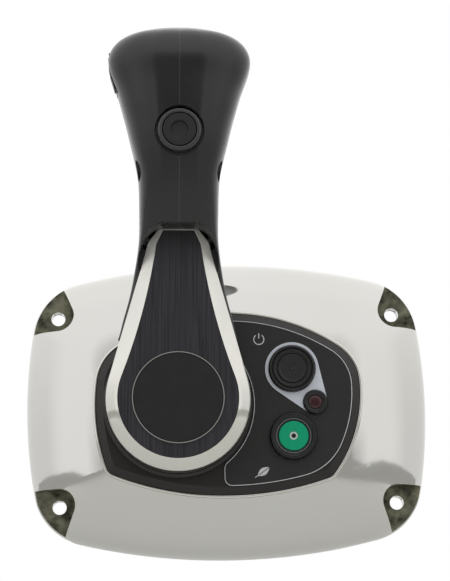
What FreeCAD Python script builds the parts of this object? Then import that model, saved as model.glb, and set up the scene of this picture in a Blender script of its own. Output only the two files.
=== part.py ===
import FreeCAD, Part
import math
import operator
import os
from types import SimpleNamespace

import Sketcher
from FreeCAD import Placement, Rotation, Vector

# A side-mount throttle control lever: a domed steel cover on a bulkhead, a black fascia with two
# push buttons and a lamp, a chrome lever arm with a moulded grip, and the mechanism behind the wall.
# Every piece is drawn as seen from the front: x to the right, y up, z out of the wall.
# Its Placement then stands it up, so that the row frame has +Z up and the front facing -Y.

driving = [
    # cover
    ("plateWidth", 200.0, "cover, side to side"),
    ("plateHeight", 149.0, "cover, bottom to top"),
    ("plateSideBow", 250.0, "radius of the cover's long side curve"),
    ("plateEdgeBow", 314.0, "radius of the cover's top and bottom curve"),
    ("plateCorner", 30.0, "corner radius of the cover"),
    ("plateSkirt", 4.0, "upright edge of the cover above its gasket"),
    ("plateauRise", 30.0, "wall to the flat top of the dome"),
    ("coverWall", 2.5, "wall of the cover"),
    ("domeFootRise", 0.2, "share of the dome's rise at its lowest ring"),
    ("domeFootInset", 0.05, "share of the dome's inset at its lowest ring"),
    ("domeFlankRise", 0.52, "share of the dome's rise at its middle ring"),
    ("domeFlankInset", 0.24, "share of the dome's inset at its middle ring"),
    ("domeBrowRise", 0.82, "share of the dome's rise at its upper ring"),
    ("domeBrowInset", 0.6, "share of the dome's inset at its upper ring"),
    ("gasketThick", 1.5, "gasket"),
    ("gasketBand", 19.0, "width of the gasket's band"),
    # mounting holes
    ("holeInsetX", 16.0, "cover's side to the mounting holes"),
    ("holeInsetUp", 27.0, "cover's top and bottom to the mounting holes"),
    ("holeRadius", 3.5, "mounting hole"),
    ("pocketRadius", 8.0, "round inner corner of a screw pocket"),
    ("pocketRise", 8.0, "wall to a pocket's floor"),
    ("pocketLean", 68.0, "angle of a pocket's upright side"),
    ("pocketReach", 30.0, "length of a pocket's sides, past the edge"),
    # fascia
    ("fasciaHalf", 65.0, "fascia, centre to side"),
    ("fasciaTop", 45.2, "fascia, centre to top"),
    ("fasciaBottom", 44.6, "fascia, centre to bottom"),
    ("fasciaTopBow", 98.0, "radius of the fascia's top curve"),
    ("fasciaBottomBow", 154.0, "radius of the fascia's bottom curve"),
    ("fasciaSideBow", 95.0, "radius of the fascia's left side curve"),
    ("fasciaRightBow", 68.0, "radius of the fascia's right side curve"),
    ("fasciaRightRise", 6.0, "height of the right side curve's middle"),
    ("fasciaTopCorner", 23.0, "upper corners of the fascia"),
    ("fasciaBottomCorner", 5.0, "lower corners of the fascia"),
    ("fasciaThick", 4.0, "fascia"),
    ("fasciaSlope", 3.6, "width of the fascia's sloped edge"),
    ("plateauMargin", 1.2, "steel rim that shows round the fascia"),
    # panel
    ("panelInset", 0.6, "panel edge inside the fascia's flat face"),
    ("panelThick", 0.8, "panel laid on the fascia"),
    ("panelLeft", -2.4, "left edge of the panel"),
    ("panelCorner", 3.5, "left corners of the panel"),
    ("panelRightCorner", 27.0, "lower right corner of the panel"),
    ("panelHubRadius", 37.7, "round edge of the panel about the hub"),
    # hub
    ("hubX", -25.0, "lever axis from the cover's centre"),
    ("leverLean", 0.95, "lean of the lever at rest, degrees"),
    ("collarRadius", 36.5, "hub collar on the fascia"),
    ("collarThick", 6.0, "hub collar"),
    ("collarBevel", 1.4, "bevel of the collar's rim"),
    # buttons
    ("buttonX", 31.5, "push buttons from the cover's centre"),
    ("buttonLevel", 16.7, "push buttons above and below the centre"),
    ("bezelRadius", 11.7, "push button bezel"),
    ("bezelRise", 3.4, "bezel above the panel"),
    ("capRadius", 7.3, "push button cap"),
    ("capThick", 3.0, "push button cap"),
    ("capSink", 0.5, "cap below the bezel's rim"),
    ("buttonTravel", 1.8, "push button travel"),
    ("barrelRadius", 9.0, "threaded switch barrel"),
    ("barrelLength", 17.0, "switch barrel behind the panel face"),
    ("switchNutRadius", 11.0, "switch nut across its corners"),
    ("switchNutThick", 3.0, "switch nut"),
    ("lampX", 42.6, "lamp from the cover's centre"),
    ("lampBezelRadius", 6.1, "lamp bezel"),
    ("lampBezelRise", 2.4, "lamp bezel above the panel"),
    ("lensRadius", 3.4, "lamp lens"),
    ("lampBarrelRadius", 4.2, "lamp barrel"),
    ("lampBarrelLength", 12.0, "lamp barrel behind the panel face"),
    ("trimBand", 1.5, "trim round the start button"),
    ("trimThick", 0.5, "trim"),
    # lever arm
    ("armBack", 43.5, "wall to the back of the arm"),
    ("armEdge", 54.5, "wall to the arm's widest edge"),
    ("armFront", 59.0, "wall to the arm's front"),
    ("armHubRadius", 35.0, "round end of the arm"),
    ("armLean", 15.8, "slope of the arm's flanks, degrees"),
    ("armShoulder", 77.0, "lever axis to the arm's shoulder"),
    ("armTop", 86.0, "lever axis to the end of the arm's wide part"),
    ("armTopHalf", 9.0, "half width of the arm's end"),
    ("frontHubRadius", 30.2, "round end of the arm's front face"),
    ("frontLean", 20.4, "slope where the front face leaves its round end"),
    ("frontHollow", 290.0, "radius of the front face's hollow flanks"),
    ("frontShoulder", 75.0, "lever axis to the front face's shoulder"),
    ("frontShoulderHalf", 11.8, "half width at the front face's shoulder"),
    ("frontTop", 83.0, "lever axis to the front face's end"),
    ("frontTopHalf", 8.6, "half width of the front face's end"),
    ("rimWidth", 1.0, "bright rim round the inlay"),
    ("inlayThick", 1.6, "inlay"),
    ("inlaySink", 1.2, "depth of the inlay's recess"),
    ("capDiscRadius", 22.3, "hub cap"),
    ("capDiscProud", 1.0, "hub cap above the inlay"),
    ("capRingBand", 0.5, "bright ring round the hub cap"),
    ("tangHalf", 8.0, "half width of the tang in the grip"),
    ("tangBack", 50.0, "wall to the tang's back"),
    ("tangThick", 7.5, "tang"),
    ("tangEnd", 121.0, "lever axis to the tang's end"),
    # grip
    ("gripStep", 8.0, "height between the grip's lofted sections"),
    ("gripWall", 3.2, "wall of the grip's hollow head"),
    ("fitGap", 0.4, "gap between the arm and the grip"),
    ("hollowStart", 123.0, "lever axis to the start of the hollow head"),
    ("archLow", 62.0, "lever axis to the foot of the arch"),
    ("archTop", 82.6, "lever axis to the top of the arch"),
    ("archFootHalf", 19.2, "half width of the arch at its foot"),
    ("archTopHalf", 9.4, "half width of the arch at its top"),
    ("archRound", 18.0, "radius of the arch's corners"),
    ("gripScrewLow", 78.5, "lever axis to the lower grip screw"),
    ("gripScrewHigh", 108.3, "lever axis to the upper grip screw"),
    ("gripScrewDepth", 53.5, "wall to the lower grip screw"),
    ("gripScrewFront", 73.0, "wall to the upper grip screw, in front of the tang"),
    ("gripScrewSeat", 15.9, "grip centre to the screw head's seat"),
    ("gripScrewRadius", 2.5, "grip screw"),
    ("gripHeadRadius", 4.2, "grip screw head"),
    ("gripHeadThick", 2.4, "grip screw head"),
    ("gripRecessRadius", 5.2, "recess of a grip screw"),
    # grip button
    ("thumbLevel", 125.1, "lever axis to the grip button"),
    ("thumbCollarRadius", 12.0, "grip button collar"),
    ("thumbCollarFront", 90.5, "wall to the collar's front"),
    ("thumbCollarDeep", 8.0, "length of the collar"),
    ("thumbRadius", 8.15, "grip button"),
    ("thumbThick", 6.0, "grip button"),
    ("thumbSink", 0.2, "grip button below its collar"),
    ("thumbTravel", 1.8, "grip button travel"),
    ("thumbDimple", 3.8, "dimple in the grip button"),
    ("thumbSwitchDeep", 14.0, "switch module behind the grip button"),
    ("thumbSwitchRadius", 9.0, "switch module behind the grip button"),
    # side rocker
    ("rockerLevel", 157.0, "lever axis to the side rocker"),
    ("rockerOut", 32.3, "grip centre to the rocker's face"),
    ("rockerLean", 12.0, "lean of the rocker's face, degrees"),
    ("rockerDepth", 68.0, "wall to the rocker's middle"),
    ("rockerLength", 20.0, "rocker frame, along the grip"),
    ("rockerWidth", 11.0, "rocker frame, wall to front"),
    ("rockerDeep", 7.0, "rocker frame, into the grip"),
    ("rockerRim", 1.3, "rim of the rocker frame"),
    ("rockerPinRadius", 1.0, "rocker pins"),
    ("rockerGap", 0.3, "rocker to its frame, wall to front"),
    ("rockerEndGap", 0.7, "rocker to its frame, at its ends"),
    ("rockerPivot", 2.6, "rocker's pins below the frame's face"),
    ("rockerThick", 3.8, "rocker behind the frame's face, in front of its pins and behind"),
    ("rockerCrown", 1.4, "rocker's crown above the frame's face"),
    # frame plate and housing
    ("framePlateBack", 12.0, "wall to the back of the frame plate"),
    ("framePlateThick", 3.0, "frame plate"),
    ("framePlateHalf", 68.0, "frame plate, centre to side"),
    ("framePlateUp", 34.0, "frame plate, centre to top"),
    ("frameBossX", 59.5, "frame screws, centre to side"),
    ("frameBossUp", 22.0, "frame screws, centre to top"),
    ("frameBossRadius", 5.0, "screw boss under the dome"),
    ("housingHalf", 54.0, "housing, centre to side"),
    ("housingUp", 34.0, "housing, centre to top"),
    ("housingBack", -56.0, "wall to the housing's rear end"),
    ("housingWall", 3.0, "housing wall"),
    ("housingCorner", 6.0, "corner radius of the housing"),
    ("housingBossRadius", 4.5, "corner boss of the housing"),
    ("housingBossInset", 6.0, "housing's side to its boss axis"),
    ("partitionBack", -31.0, "wall to the back of the partition"),
    ("partitionThick", 4.0, "partition"),
    ("rearCoverThick", 3.0, "rear cover"),
    ("smallScrewRadius", 1.5, "M3 screw"),
    ("smallHeadRadius", 2.9, "M3 screw head"),
    ("smallHeadThick", 2.0, "M3 screw head"),
    ("smallScrewGrip", 8.0, "length of an M3 screw in its boss"),
    # shaft
    ("shaftRadius", 8.0, "lever shaft"),
    ("shaftFront", 49.0, "wall to the shaft's front end"),
    ("shaftRear", -36.0, "wall to the shaft's rear end"),
    ("runningGap", 0.05, "radial running clearance"),
    ("bushWall", 3.0, "wall of the bushes"),
    ("bushFlange", 2.5, "width and thickness of the bush flanges"),
    ("hubBossRadius", 14.0, "boss behind the arm's hub"),
    ("hubBossGap", 0.4, "hub boss to the front bush"),
    ("boltRadius", 4.0, "hub bolt"),
    ("boltHeadRadius", 6.5, "hub bolt head"),
    ("boltHeadThick", 5.0, "hub bolt head"),
    ("boltLength", 20.0, "hub bolt's thread"),
    ("washerRadius", 10.0, "hub washer"),
    ("washerThick", 2.0, "hub washer"),
    ("keyWidth", 5.0, "shaft key"),
    ("keyLength", 14.0, "shaft key"),
    ("clipGroove", 0.8, "depth of the circlip groove"),
    ("clipThick", 1.2, "circlip"),
    ("clipRadius", 10.6, "circlip"),
    # detent, brake and sensor
    ("detentRadius", 19.0, "detent disc"),
    ("detentThick", 6.0, "detent disc"),
    ("detentFront", 4.0, "wall to the detent disc's front"),
    ("notchDepth", 2.0, "notch in the detent disc"),
    ("notchStep", 22.0, "angle between notches, degrees"),
    ("springThick", 0.8, "detent spring"),
    ("springWidth", 5.0, "detent spring"),
    ("brakeRadius", 23.0, "brake disc"),
    ("brakeThick", 3.0, "brake disc"),
    ("brakeFront", -10.0, "wall to the brake disc's front"),
    ("padGap", 0.1, "brake pad to the disc"),
    ("padThick", 4.0, "brake pad"),
    ("padRadius", 4.0, "brake pad"),
    ("padAside", 17.0, "lever axis to the brake pad"),
    ("adjusterRadius", 2.5, "brake adjuster screw"),
    ("adjusterLength", 24.0, "brake adjuster screw"),
    ("magnetHolderRadius", 7.0, "magnet holder"),
    ("magnetHolderThick", 5.0, "magnet holder"),
    ("magnetRadius", 4.0, "magnet"),
    ("magnetThick", 2.0, "magnet"),
    ("boardThick", 1.6, "circuit board"),
    ("boardHalf", 21.0, "circuit board, lever axis to side"),
    ("boardUp", 24.0, "circuit board, centre to top"),
    ("standoffInset", 4.0, "board's edge to a standoff's axis"),
    ("standoffRadius", 3.0, "board standoff"),
    ("boardFront", -46.0, "wall to the board's front"),
    ("chipThick", 1.4, "sensor chip"),
    ("chipHalf", 3.0, "sensor chip, centre to side"),
    ("connectorX", 28.0, "connector from the centre"),
    ("connectorRadius", 9.0, "connector shell"),
    ("connectorWall", 1.6, "connector shell's wall"),
    ("connectorLength", 14.0, "connector behind the rear cover"),
]

# Cross sections of the grip from its skirt to its top: height above the lever axis, half width,
# distances from the wall to its back and front, and the power of its rounded outline.
gripStations = [
    ("skirt", 30.0, 29.2, 41.2, 50.0, 7.0),
    ("flare", 58.0, 22.0, 41.3, 55.5, 6.0),
    ("throat", 80.0, 19.1, 41.4, 75.0, 4.4),
    ("neck", 101.0, 19.4, 43.8, 83.5, 3.6),
    ("swell", 126.0, 24.3, 45.5, 88.5, 3.1),
    ("palm", 147.0, 30.0, 45.0, 90.5, 2.9),
    ("brow", 163.0, 34.7, 45.5, 91.0, 2.8),
    ("temple", 170.5, 31.8, 48.5, 88.5, 2.7),
    ("crown", 175.8, 24.8, 53.0, 84.0, 2.6),
    ("summit", 179.0, 15.0, 60.0, 77.0, 2.4),
]
for station, height, half, back, front, square in gripStations:
    driving += [
        (station + "Height", height, "lever axis to this section of the grip"),
        (station + "Half", half, "half width of the section"),
        (station + "Back", back, "wall to the section's back"),
        (station + "Front", front, "wall to the section's front"),
        (station + "Square", square, "power of the section's outline"),
    ]

doc = FreeCAD.newDocument("ThrottleControl")
sheet = doc.addObject("Spreadsheet::Sheet", "Sizes")
for row, (name, value, note) in enumerate(driving, start=1):
    sheet.set("A%d" % row, name)
    sheet.set("B%d" % row, str(value))
    sheet.set("C%d" % row, note)
    sheet.setAlias("B%d" % row, name)
doc.recompute()


class Amount:
    """A number together with the sheet expression that gives it."""

    def __init__(self, value, text):
        self.value = float(value)
        self.text = text

    def __add__(self, other):
        return combine(self, other, "+", operator.add)

    def __radd__(self, other):
        return combine(other, self, "+", operator.add)

    def __sub__(self, other):
        return combine(self, other, "-", operator.sub)

    def __rsub__(self, other):
        return combine(other, self, "-", operator.sub)

    def __mul__(self, other):
        return combine(self, other, "*", operator.mul)

    def __rmul__(self, other):
        return combine(other, self, "*", operator.mul)

    def __truediv__(self, other):
        return combine(self, other, "/", operator.truediv)

    def __neg__(self):
        return combine(0, self, "-", operator.sub)


def amount(number):
    return number if isinstance(number, Amount) else Amount(number, repr(float(number)))


def combine(first, second, sign, action):
    first, second = amount(first), amount(second)
    return Amount(action(first.value, second.value), "(%s %s %s)" % (first.text, sign, second.text))


def cosine(angle):
    angle = amount(angle)
    return Amount(math.cos(math.radians(angle.value)), "cos(%s)" % angle.text)


def sine(angle):
    angle = amount(angle)
    return Amount(math.sin(math.radians(angle.value)), "sin(%s)" % angle.text)


def tangent(angle):
    angle = amount(angle)
    return Amount(math.tan(math.radians(angle.value)), "tan(%s)" % angle.text)


s = SimpleNamespace(**{name: Amount(value, "Sizes." + name) for name, value, note in driving})


def tie(thing, prop, number):
    """Sets a property and binds it to the sheet where it depends on a cell."""
    number = amount(number)
    if "Sizes." in number.text:
        thing.setExpression(prop, number.text)
    elif "." not in prop:
        setattr(thing, prop, number.value)


def hold(sketch, kind, where, number):
    """Adds one driving constraint to a sketch and binds it to the sheet."""
    number = amount(number)
    index = sketch.addConstraint(Sketcher.Constraint(kind, *where, number.value))
    label = "size%d" % index
    sketch.renameConstraint(index, label)
    if "Sizes." in number.text:
        sketch.setExpression("Constraints." + label, number.text)


def arcBetween(start, end, radius, side):
    """A minor arc whose centre lies left (side 1) or right (side -1) of the way from start to end."""
    chord = end - start
    half = chord.Length / 2
    away = math.sqrt(max(radius * radius - half * half, 0.0))
    left = Vector(-chord.y, chord.x, 0).normalize()
    centre = (start + end) / 2 + left * away * side
    begin = math.atan2(start.y - centre.y, start.x - centre.x)
    finish = math.atan2(end.y - centre.y, end.x - centre.x)
    circle = Part.Circle(centre, Vector(0, 0, 1), radius)
    if side > 0:
        return Part.ArcOfCircle(circle, begin, finish), 1, 2
    return Part.ArcOfCircle(circle, finish, begin), 2, 1


def closedProfile(points):
    """Draws a closed outline: each point is (x, y), or (x, y, radius, side) where an arc leaves it."""

    def draw(sketch):
        first = sketch.GeometryCount
        places = [Vector(amount(p[0]).value, amount(p[1]).value, 0) for p in points]
        ends = []
        for number, point in enumerate(points):
            start, end = places[number], places[(number + 1) % len(points)]
            if len(point) == 2:
                sketch.addGeometry(Part.LineSegment(start, end))
                ends.append((1, 2))
            else:
                arc, begin, finish = arcBetween(start, end, amount(point[2]).value, point[3])
                sketch.addGeometry(arc)
                ends.append((begin, finish))
        for number in range(len(points)):
            after = (number + 1) % len(points)
            join = (first + number, ends[number][1], first + after, ends[after][0])
            sketch.addConstraint(Sketcher.Constraint("Coincident", *join))
        for number, point in enumerate(points):
            corner = (-1, 1, first + number, ends[number][0])
            hold(sketch, "DistanceX", corner, point[0])
            hold(sketch, "DistanceY", corner, point[1])
            if len(point) > 2:
                hold(sketch, "Radius", (first + number,), point[2])

    return draw


def circleProfile(x, y, radius):
    def draw(sketch):
        first = sketch.GeometryCount
        centre = Vector(amount(x).value, amount(y).value, 0)
        sketch.addGeometry(Part.Circle(centre, Vector(0, 0, 1), amount(radius).value))
        hold(sketch, "DistanceX", (-1, 1, first, 3), x)
        hold(sketch, "DistanceY", (-1, 1, first, 3), y)
        hold(sketch, "Radius", (first,), radius)

    return draw


def boxProfile(left, bottom, right, top):
    return closedProfile([(left, bottom), (right, bottom), (right, top), (left, top)])


def hexagonProfile(x, y, radius):
    points = []
    for turn in range(6):
        points.append((x + radius * cosine(60 * turn), y + radius * sine(60 * turn)))
    return closedProfile(points)


def roundedBox(left, bottom, right, top, corner):
    """A rectangle with round corners, drawn anticlockwise from its lower left side."""
    return closedProfile(
        [
            (left + corner, bottom),
            (right - corner, bottom, corner, 1),
            (right, bottom + corner),
            (right, top - corner, corner, 1),
            (right - corner, top),
            (left + corner, top, corner, 1),
            (left, top - corner),
            (left, bottom + corner, corner, 1),
        ]
    )


def bowedOutline(half, top, bottom, bows, corners, rise):
    """Four long arcs joined by four tangent corner arcs.

    The bows are the radii of the right, upper, left and lower arc, and each corner follows its bow.
    The right arc's centre stands above the middle by the rise.
    """

    def draw(sketch):
        rightBow, topBow, leftBow, bottomBow = bows
        right = (half - rightBow, rise, rightBow)
        upper = (amount(0), top - topBow, topBow)
        left = (leftBow - half, amount(0), leftBow)
        lower = (amount(0), bottomBow - bottom, bottomBow)
        longArcs = [right, upper, left, lower]
        outward = [(1, 1), (-1, 1), (-1, -1), (1, -1)]
        centres = []
        for number in range(4):
            one, two = longArcs[number], longArcs[(number + 1) % 4]
            centres.append(cornerCentre(one, two, corners[number].value, outward[number]))
        for number in range(4):
            x, y, radius = longArcs[number]
            begin = directionTo(x.value, y.value, centres[number - 1])
            finish = directionTo(x.value, y.value, centres[number])
            circle = Part.Circle(Vector(x.value, y.value, 0), Vector(0, 0, 1), radius.value)
            sketch.addGeometry(Part.ArcOfCircle(circle, begin, finish))
            nextX, nextY, nextRadius = longArcs[(number + 1) % 4]
            centre = centres[number]
            after = directionTo(nextX.value, nextY.value, centre)
            circle = Part.Circle(Vector(centre.x, centre.y, 0), Vector(0, 0, 1), corners[number].value)
            sketch.addGeometry(Part.ArcOfCircle(circle, finish, after))
        for number in range(8):
            sketch.addConstraint(Sketcher.Constraint("Tangent", number, 2, (number + 1) % 8, 1))
        for number in range(4):
            x, y, radius = longArcs[number]
            hold(sketch, "Radius", (2 * number,), radius)
            hold(sketch, "Radius", (2 * number + 1,), corners[number])
            hold(sketch, "DistanceX", (-1, 1, 2 * number, 3), x)
            hold(sketch, "DistanceY", (-1, 1, 2 * number, 3), y)

    return draw


def directionTo(x, y, point):
    return math.atan2(point.y - y, point.x - x)


def cornerCentre(one, two, corner, outward):
    """Where two circles, each drawn in by the corner radius, cross on the outward side."""
    first, second = Vector(one[0].value, one[1].value, 0), Vector(two[0].value, two[1].value, 0)
    reach, other = one[2].value - corner, two[2].value - corner
    between = second - first
    span = between.Length
    along = (reach * reach - other * other + span * span) / (2 * span)
    aside = math.sqrt(reach * reach - along * along)
    direction = between / span
    normal = Vector(-direction.y, direction.x, 0)
    found = [first + direction * along + normal * aside * side for side in (1, -1)]
    return max(found, key=lambda point: point.x * outward[0] + point.y * outward[1])


def standUp(thing, x, y, onLever=False):
    """Turns a piece drawn from the front upright, with its origin at x and y from the cover's centre.

    On the lever, x and y are measured from the lever's axis, and the lean at rest turns them with it.
    """
    turn = "rotation(vector(1; 0; 0); 90)"
    origin = "vector(0; 0; 0)"
    if onLever:
        turn = "rotation(vector(0; 1; 0); %s) * %s" % (s.leverLean.text, turn)
        origin = "vector(%s; 0; 0)" % s.hubX.text
    upright = "placement(%s; %s)" % (origin, turn)
    shift = "placement(vector(%s; %s; 0); rotation(vector(0; 0; 1); 0))"
    thing.setExpression("Placement", upright + " * " + shift % (amount(x).text, amount(y).text))


pieces = []


class Piece:
    """One sub-part: a body whose features are drawn in its own front view."""

    def __init__(self, label, x=0, y=0, onLever=False):
        self.body = doc.addObject("PartDesign::Body", label)
        self.body.Label = label
        standUp(self.body, x, y, onLever)
        pieces.append(self.body)

    def sketch(self, role, offset, draws):
        sketch = self.body.newObject("Sketcher::SketchObject", "Sketch")
        plane = [item for item in self.body.Origin.OriginFeatures if item.Role == role][0]
        sketch.AttachmentSupport = [(plane, "")]
        sketch.MapMode = "FlatFace"
        tie(sketch, "AttachmentOffset.Base.z", offset)
        if "Sizes." not in amount(offset).text:
            sketch.AttachmentOffset = Placement(Vector(0, 0, amount(offset).value), Rotation())
        for draw in draws if isinstance(draws, (list, tuple)) else [draws]:
            draw(sketch)
        return sketch

    def feature(self, kind, profile=None):
        feature = self.body.newObject("PartDesign::" + kind, kind)
        if profile is not None:
            feature.Profile = profile
        return feature

    def pad(self, draws, start, end):
        """Adds the profile between two distances from the wall."""
        pad = self.feature("Pad", self.sketch("XY_Plane", start, draws))
        tie(pad, "Length", amount(end) - start)
        return pad

    def cut(self, draws, start, end):
        """Removes the profile between two distances from the wall."""
        pocket = self.feature("Pocket", self.sketch("XY_Plane", end, draws))
        tie(pocket, "Length", amount(end) - start)
        return pocket

    def taper(self, lower, start, upper, end):
        """Adds a loft from one outline to another, both seen from the front."""
        first = self.sketch("XY_Plane", start, lower)
        loft = self.feature("AdditiveLoft", first)
        loft.Sections = [self.sketch("XY_Plane", end, upper)]
        loft.Ruled = True
        return loft

    def turned(self, points, cut=False):
        """Revolves a profile of (radius, distance from the wall) about the body's own axis."""
        profile = self.sketch("XZ_Plane", 0, closedProfile(points))
        turned = self.feature("Groove" if cut else "Revolution", profile)
        axis = [item for item in self.body.Origin.OriginFeatures if item.Role == "Z_Axis"][0]
        turned.ReferenceAxis = (axis, [""])
        turned.Angle = 360.0
        return turned

    def across(self, draws, start, end, cut=True):
        """Adds or removes a profile drawn from the side (y up, z out) between two x."""
        sketch = self.sketch("YZ_Plane", start, draws)
        feature = self.feature("Pocket" if cut else "Pad", sketch)
        tie(feature, "Length", amount(end) - start)
        feature.Reversed = cut
        return feature

    def column(self, draws, start, end, cut=False):
        """Adds or removes a profile drawn from above (x, z out) between two heights."""
        sketch = self.sketch("XZ_Plane", -amount(start), draws)
        feature = self.feature("Pocket" if cut else "Pad", sketch)
        tie(feature, "Length", amount(end) - start)
        feature.Reversed = not cut
        return feature

    def soften(self, kind, amountOff, choose):
        """Fillets or chamfers the edges that choose picks, where the body has any."""
        doc.recompute()
        base = self.body.Tip
        names = []
        for number, edge in enumerate(base.Shape.Edges, start=1):
            if choose(edge):
                names.append("Edge%d" % number)
        softened = self.feature(kind)
        softened.Base = (base, names)
        tie(softened, "Radius" if kind == "Fillet" else "Size", amountOff)
        return softened


def atDistance(distance, tolerance=0.01):
    """Picks the edges that lie wholly at one distance from the wall."""
    level = amount(distance).value

    def choose(edge):
        box = edge.BoundBox
        return abs(box.ZMin - level) < tolerance and abs(box.ZMax - level) < tolerance

    return choose


def disc(radius, start, end):
    """Profile points of a plain turned disc."""
    return [(0, start), (radius, start), (radius, end), (0, end)]


def tube(inner, outer, start, end):
    """Profile points of a plain turned ring."""
    return [(inner, start), (outer, start), (outer, end), (inner, end)]


# cover: a domed shell with four screw pockets


def domeRing(rise, inset, wall):
    """The cover's outline at a share of the dome's rise, drawn in by a wall."""
    reach = s.plateWidth / 2
    up = s.plateHeight / 2

    def between(low, high):
        return low + (high - low) * inset

    half = between(reach, s.fasciaHalf + s.plateauMargin) - wall
    top = between(up, s.fasciaTop + s.plateauMargin) - wall
    bottom = between(up, s.fasciaBottom + s.plateauMargin) - wall
    bows = [
        between(s.plateSideBow, s.fasciaRightBow) - wall,
        between(s.plateEdgeBow, s.fasciaTopBow) - wall,
        between(s.plateSideBow, s.fasciaSideBow) - wall,
        between(s.plateEdgeBow, s.fasciaBottomBow) - wall,
    ]
    topCorner = between(s.plateCorner, s.fasciaTopCorner) - wall
    bottomCorner = between(s.plateCorner, s.fasciaBottomCorner + s.coverWall) - wall
    corners = [topCorner, topCorner, bottomCorner, bottomCorner]
    level = domeBase + (s.plateauRise - domeBase) * rise - wall
    rightRise = between(amount(0), s.fasciaRightRise)
    return level, bowedOutline(half, top, bottom, bows, corners, rightRise)


domeBase = s.gasketThick + s.plateSkirt


def frontSketch(name, level, draws):
    """A sketch that stands free of any body, at a distance from the wall."""
    sketch = doc.addObject("Sketcher::SketchObject", name)
    sketch.setExpression("Placement.Base.z", amount(level).text)
    for draw in draws if isinstance(draws, (list, tuple)) else [draws]:
        draw(sketch)
    return sketch


def domeSolid(name, wall):
    """The dome's outer or inner form, lofted through its rings, with its upright skirt."""
    shares = [
        (0, 0),
        (s.domeFootRise, s.domeFootInset),
        (s.domeFlankRise, s.domeFlankInset),
        (s.domeBrowRise, s.domeBrowInset),
        (1, 1),
    ]
    rings = []
    for rise, inset in shares:
        level, outline = domeRing(rise, inset, wall)
        rings.append(frontSketch(name + "Ring", level, outline))
    loft = doc.addObject("Part::Loft", name + "Loft")
    loft.Sections = rings
    loft.Solid = True
    level, outline = domeRing(0, 0, wall)
    skirt = extruded(name + "Skirt", outline, s.gasketThick, level)
    return fused(name, [skirt, loft])


def extruded(name, draws, start, end):
    """A solid of a profile between two distances from the wall."""
    solid = doc.addObject("Part::Extrusion", name)
    solid.Base = frontSketch(name + "Sketch", start, draws)
    solid.DirMode = "Custom"
    solid.Dir = Vector(0, 0, 1)
    solid.Solid = True
    tie(solid, "LengthFwd", amount(end) - start)
    return solid


def fused(name, solids):
    whole = doc.addObject("Part::MultiFuse", name)
    whole.Shapes = solids
    return whole


def removed(name, base, tool):
    rest = doc.addObject("Part::Cut", name)
    rest.Base = base
    rest.Tool = tool
    return rest


holeX = s.plateWidth / 2 - s.holeInsetX
holeY = s.plateHeight / 2 - s.holeInsetUp


def pocketOutline(across, up, wall):
    """A corner pocket: an arc about the screw hole and two straight sides that run off the cover."""
    radius = s.pocketRadius + wall
    reach = s.pocketReach
    tangentX = holeX - radius * sine(s.pocketLean)
    tangentY = holeY + radius * cosine(s.pocketLean)
    tipX = tangentX + reach * cosine(s.pocketLean)
    tipY = tangentY + reach * sine(s.pocketLean)
    points = [
        (tangentX, tangentY, radius, 1),
        (holeX, holeY - radius),
        (holeX + reach, holeY - radius),
        (holeX + reach, tipY),
        (tipX, tipY),
    ]
    mirrored = []
    for point in points:
        mirrored.append((point[0] * across, point[1] * up) + tuple(point[2:]))
    if across * up < 0:
        # mirroring once turns the outline round, so its arc changes side
        mirrored[0] = mirrored[0][:3] + (-1,)
    return closedProfile(mirrored)


def makeCover():
    outer = domeSolid("CoverOuter", amount(0))
    inner = domeSolid("CoverInner", s.coverWall)
    above = s.plateauRise + s.coverWall
    wells, pockets, bosses, bores = [], [], [], []
    for across in (1, -1):
        for up in (1, -1):
            wellFloor = s.pocketRise - s.coverWall
            wells.append(extruded("Well", pocketOutline(across, up, s.coverWall), wellFloor, above))
            pockets.append(extruded("Pocket", pocketOutline(across, up, 0), s.pocketRise, above))
            boss = circleProfile(holeX * across, holeY * up, s.holeRadius + s.coverWall)
            bosses.append(extruded("HoleBoss", boss, s.gasketThick, s.pocketRise))
            bore = circleProfile(holeX * across, holeY * up, s.holeRadius)
            bores.append(extruded("HoleBore", bore, s.gasketThick, s.pocketRise))
            bossX, bossY = s.frameBossX * across, s.frameBossUp * up
            boss = circleProfile(bossX, bossY, s.frameBossRadius)
            frameFront = s.framePlateBack + s.framePlateThick
            bosses.append(extruded("FrameBoss", boss, frameFront, s.plateauRise))
            bore = circleProfile(bossX, bossY, s.smallScrewRadius)
            bores.append(extruded("FrameBore", bore, frameFront, frameFront + s.smallScrewGrip))
    hubWindow = circleProfile(s.hubX, 0, s.hubBossRadius + s.coverWall * 2)
    left = s.buttonX - s.switchNutRadius - s.fitGap
    right = s.lampX + s.lampBarrelRadius + s.fitGap
    top = s.buttonLevel + s.switchNutRadius + s.fitGap
    buttonWindow = boxProfile(left, -top, right, top)
    windows = [
        extruded("HubWindow", hubWindow, s.framePlateBack, above),
        extruded("ButtonWindow", buttonWindow, s.framePlateBack, above),
    ]
    hollow = removed("CoverHollow", inner, fused("CoverWells", wells + bosses))
    shell = removed("CoverShell", outer, hollow)
    cover = removed("cover_plate", shell, fused("CoverOpenings", pockets + bores + windows))
    cover.Label = "cover_plate"
    standUp(cover, 0, 0)
    pieces.append(cover)


def coverOutline(inset):
    corner = s.plateCorner
    half, up = s.plateWidth / 2 - inset, s.plateHeight / 2 - inset
    side, edge = s.plateSideBow - inset, s.plateEdgeBow - inset
    bows = [side, edge, side, edge]
    return bowedOutline(half, up, up, bows, [corner] * 4, amount(0))


def makeGasket():
    gasket = Piece("plate_gasket")
    gasket.pad(coverOutline(amount(0.5)), 0, s.gasketThick)
    gasket.cut(coverOutline(s.gasketBand), 0, s.gasketThick)
    holes = []
    for across in (1, -1):
        for up in (1, -1):
            holes.append(circleProfile(holeX * across, holeY * up, s.holeRadius))
    gasket.cut(holes, 0, s.gasketThick)


# fascia, panel and hub collar

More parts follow.
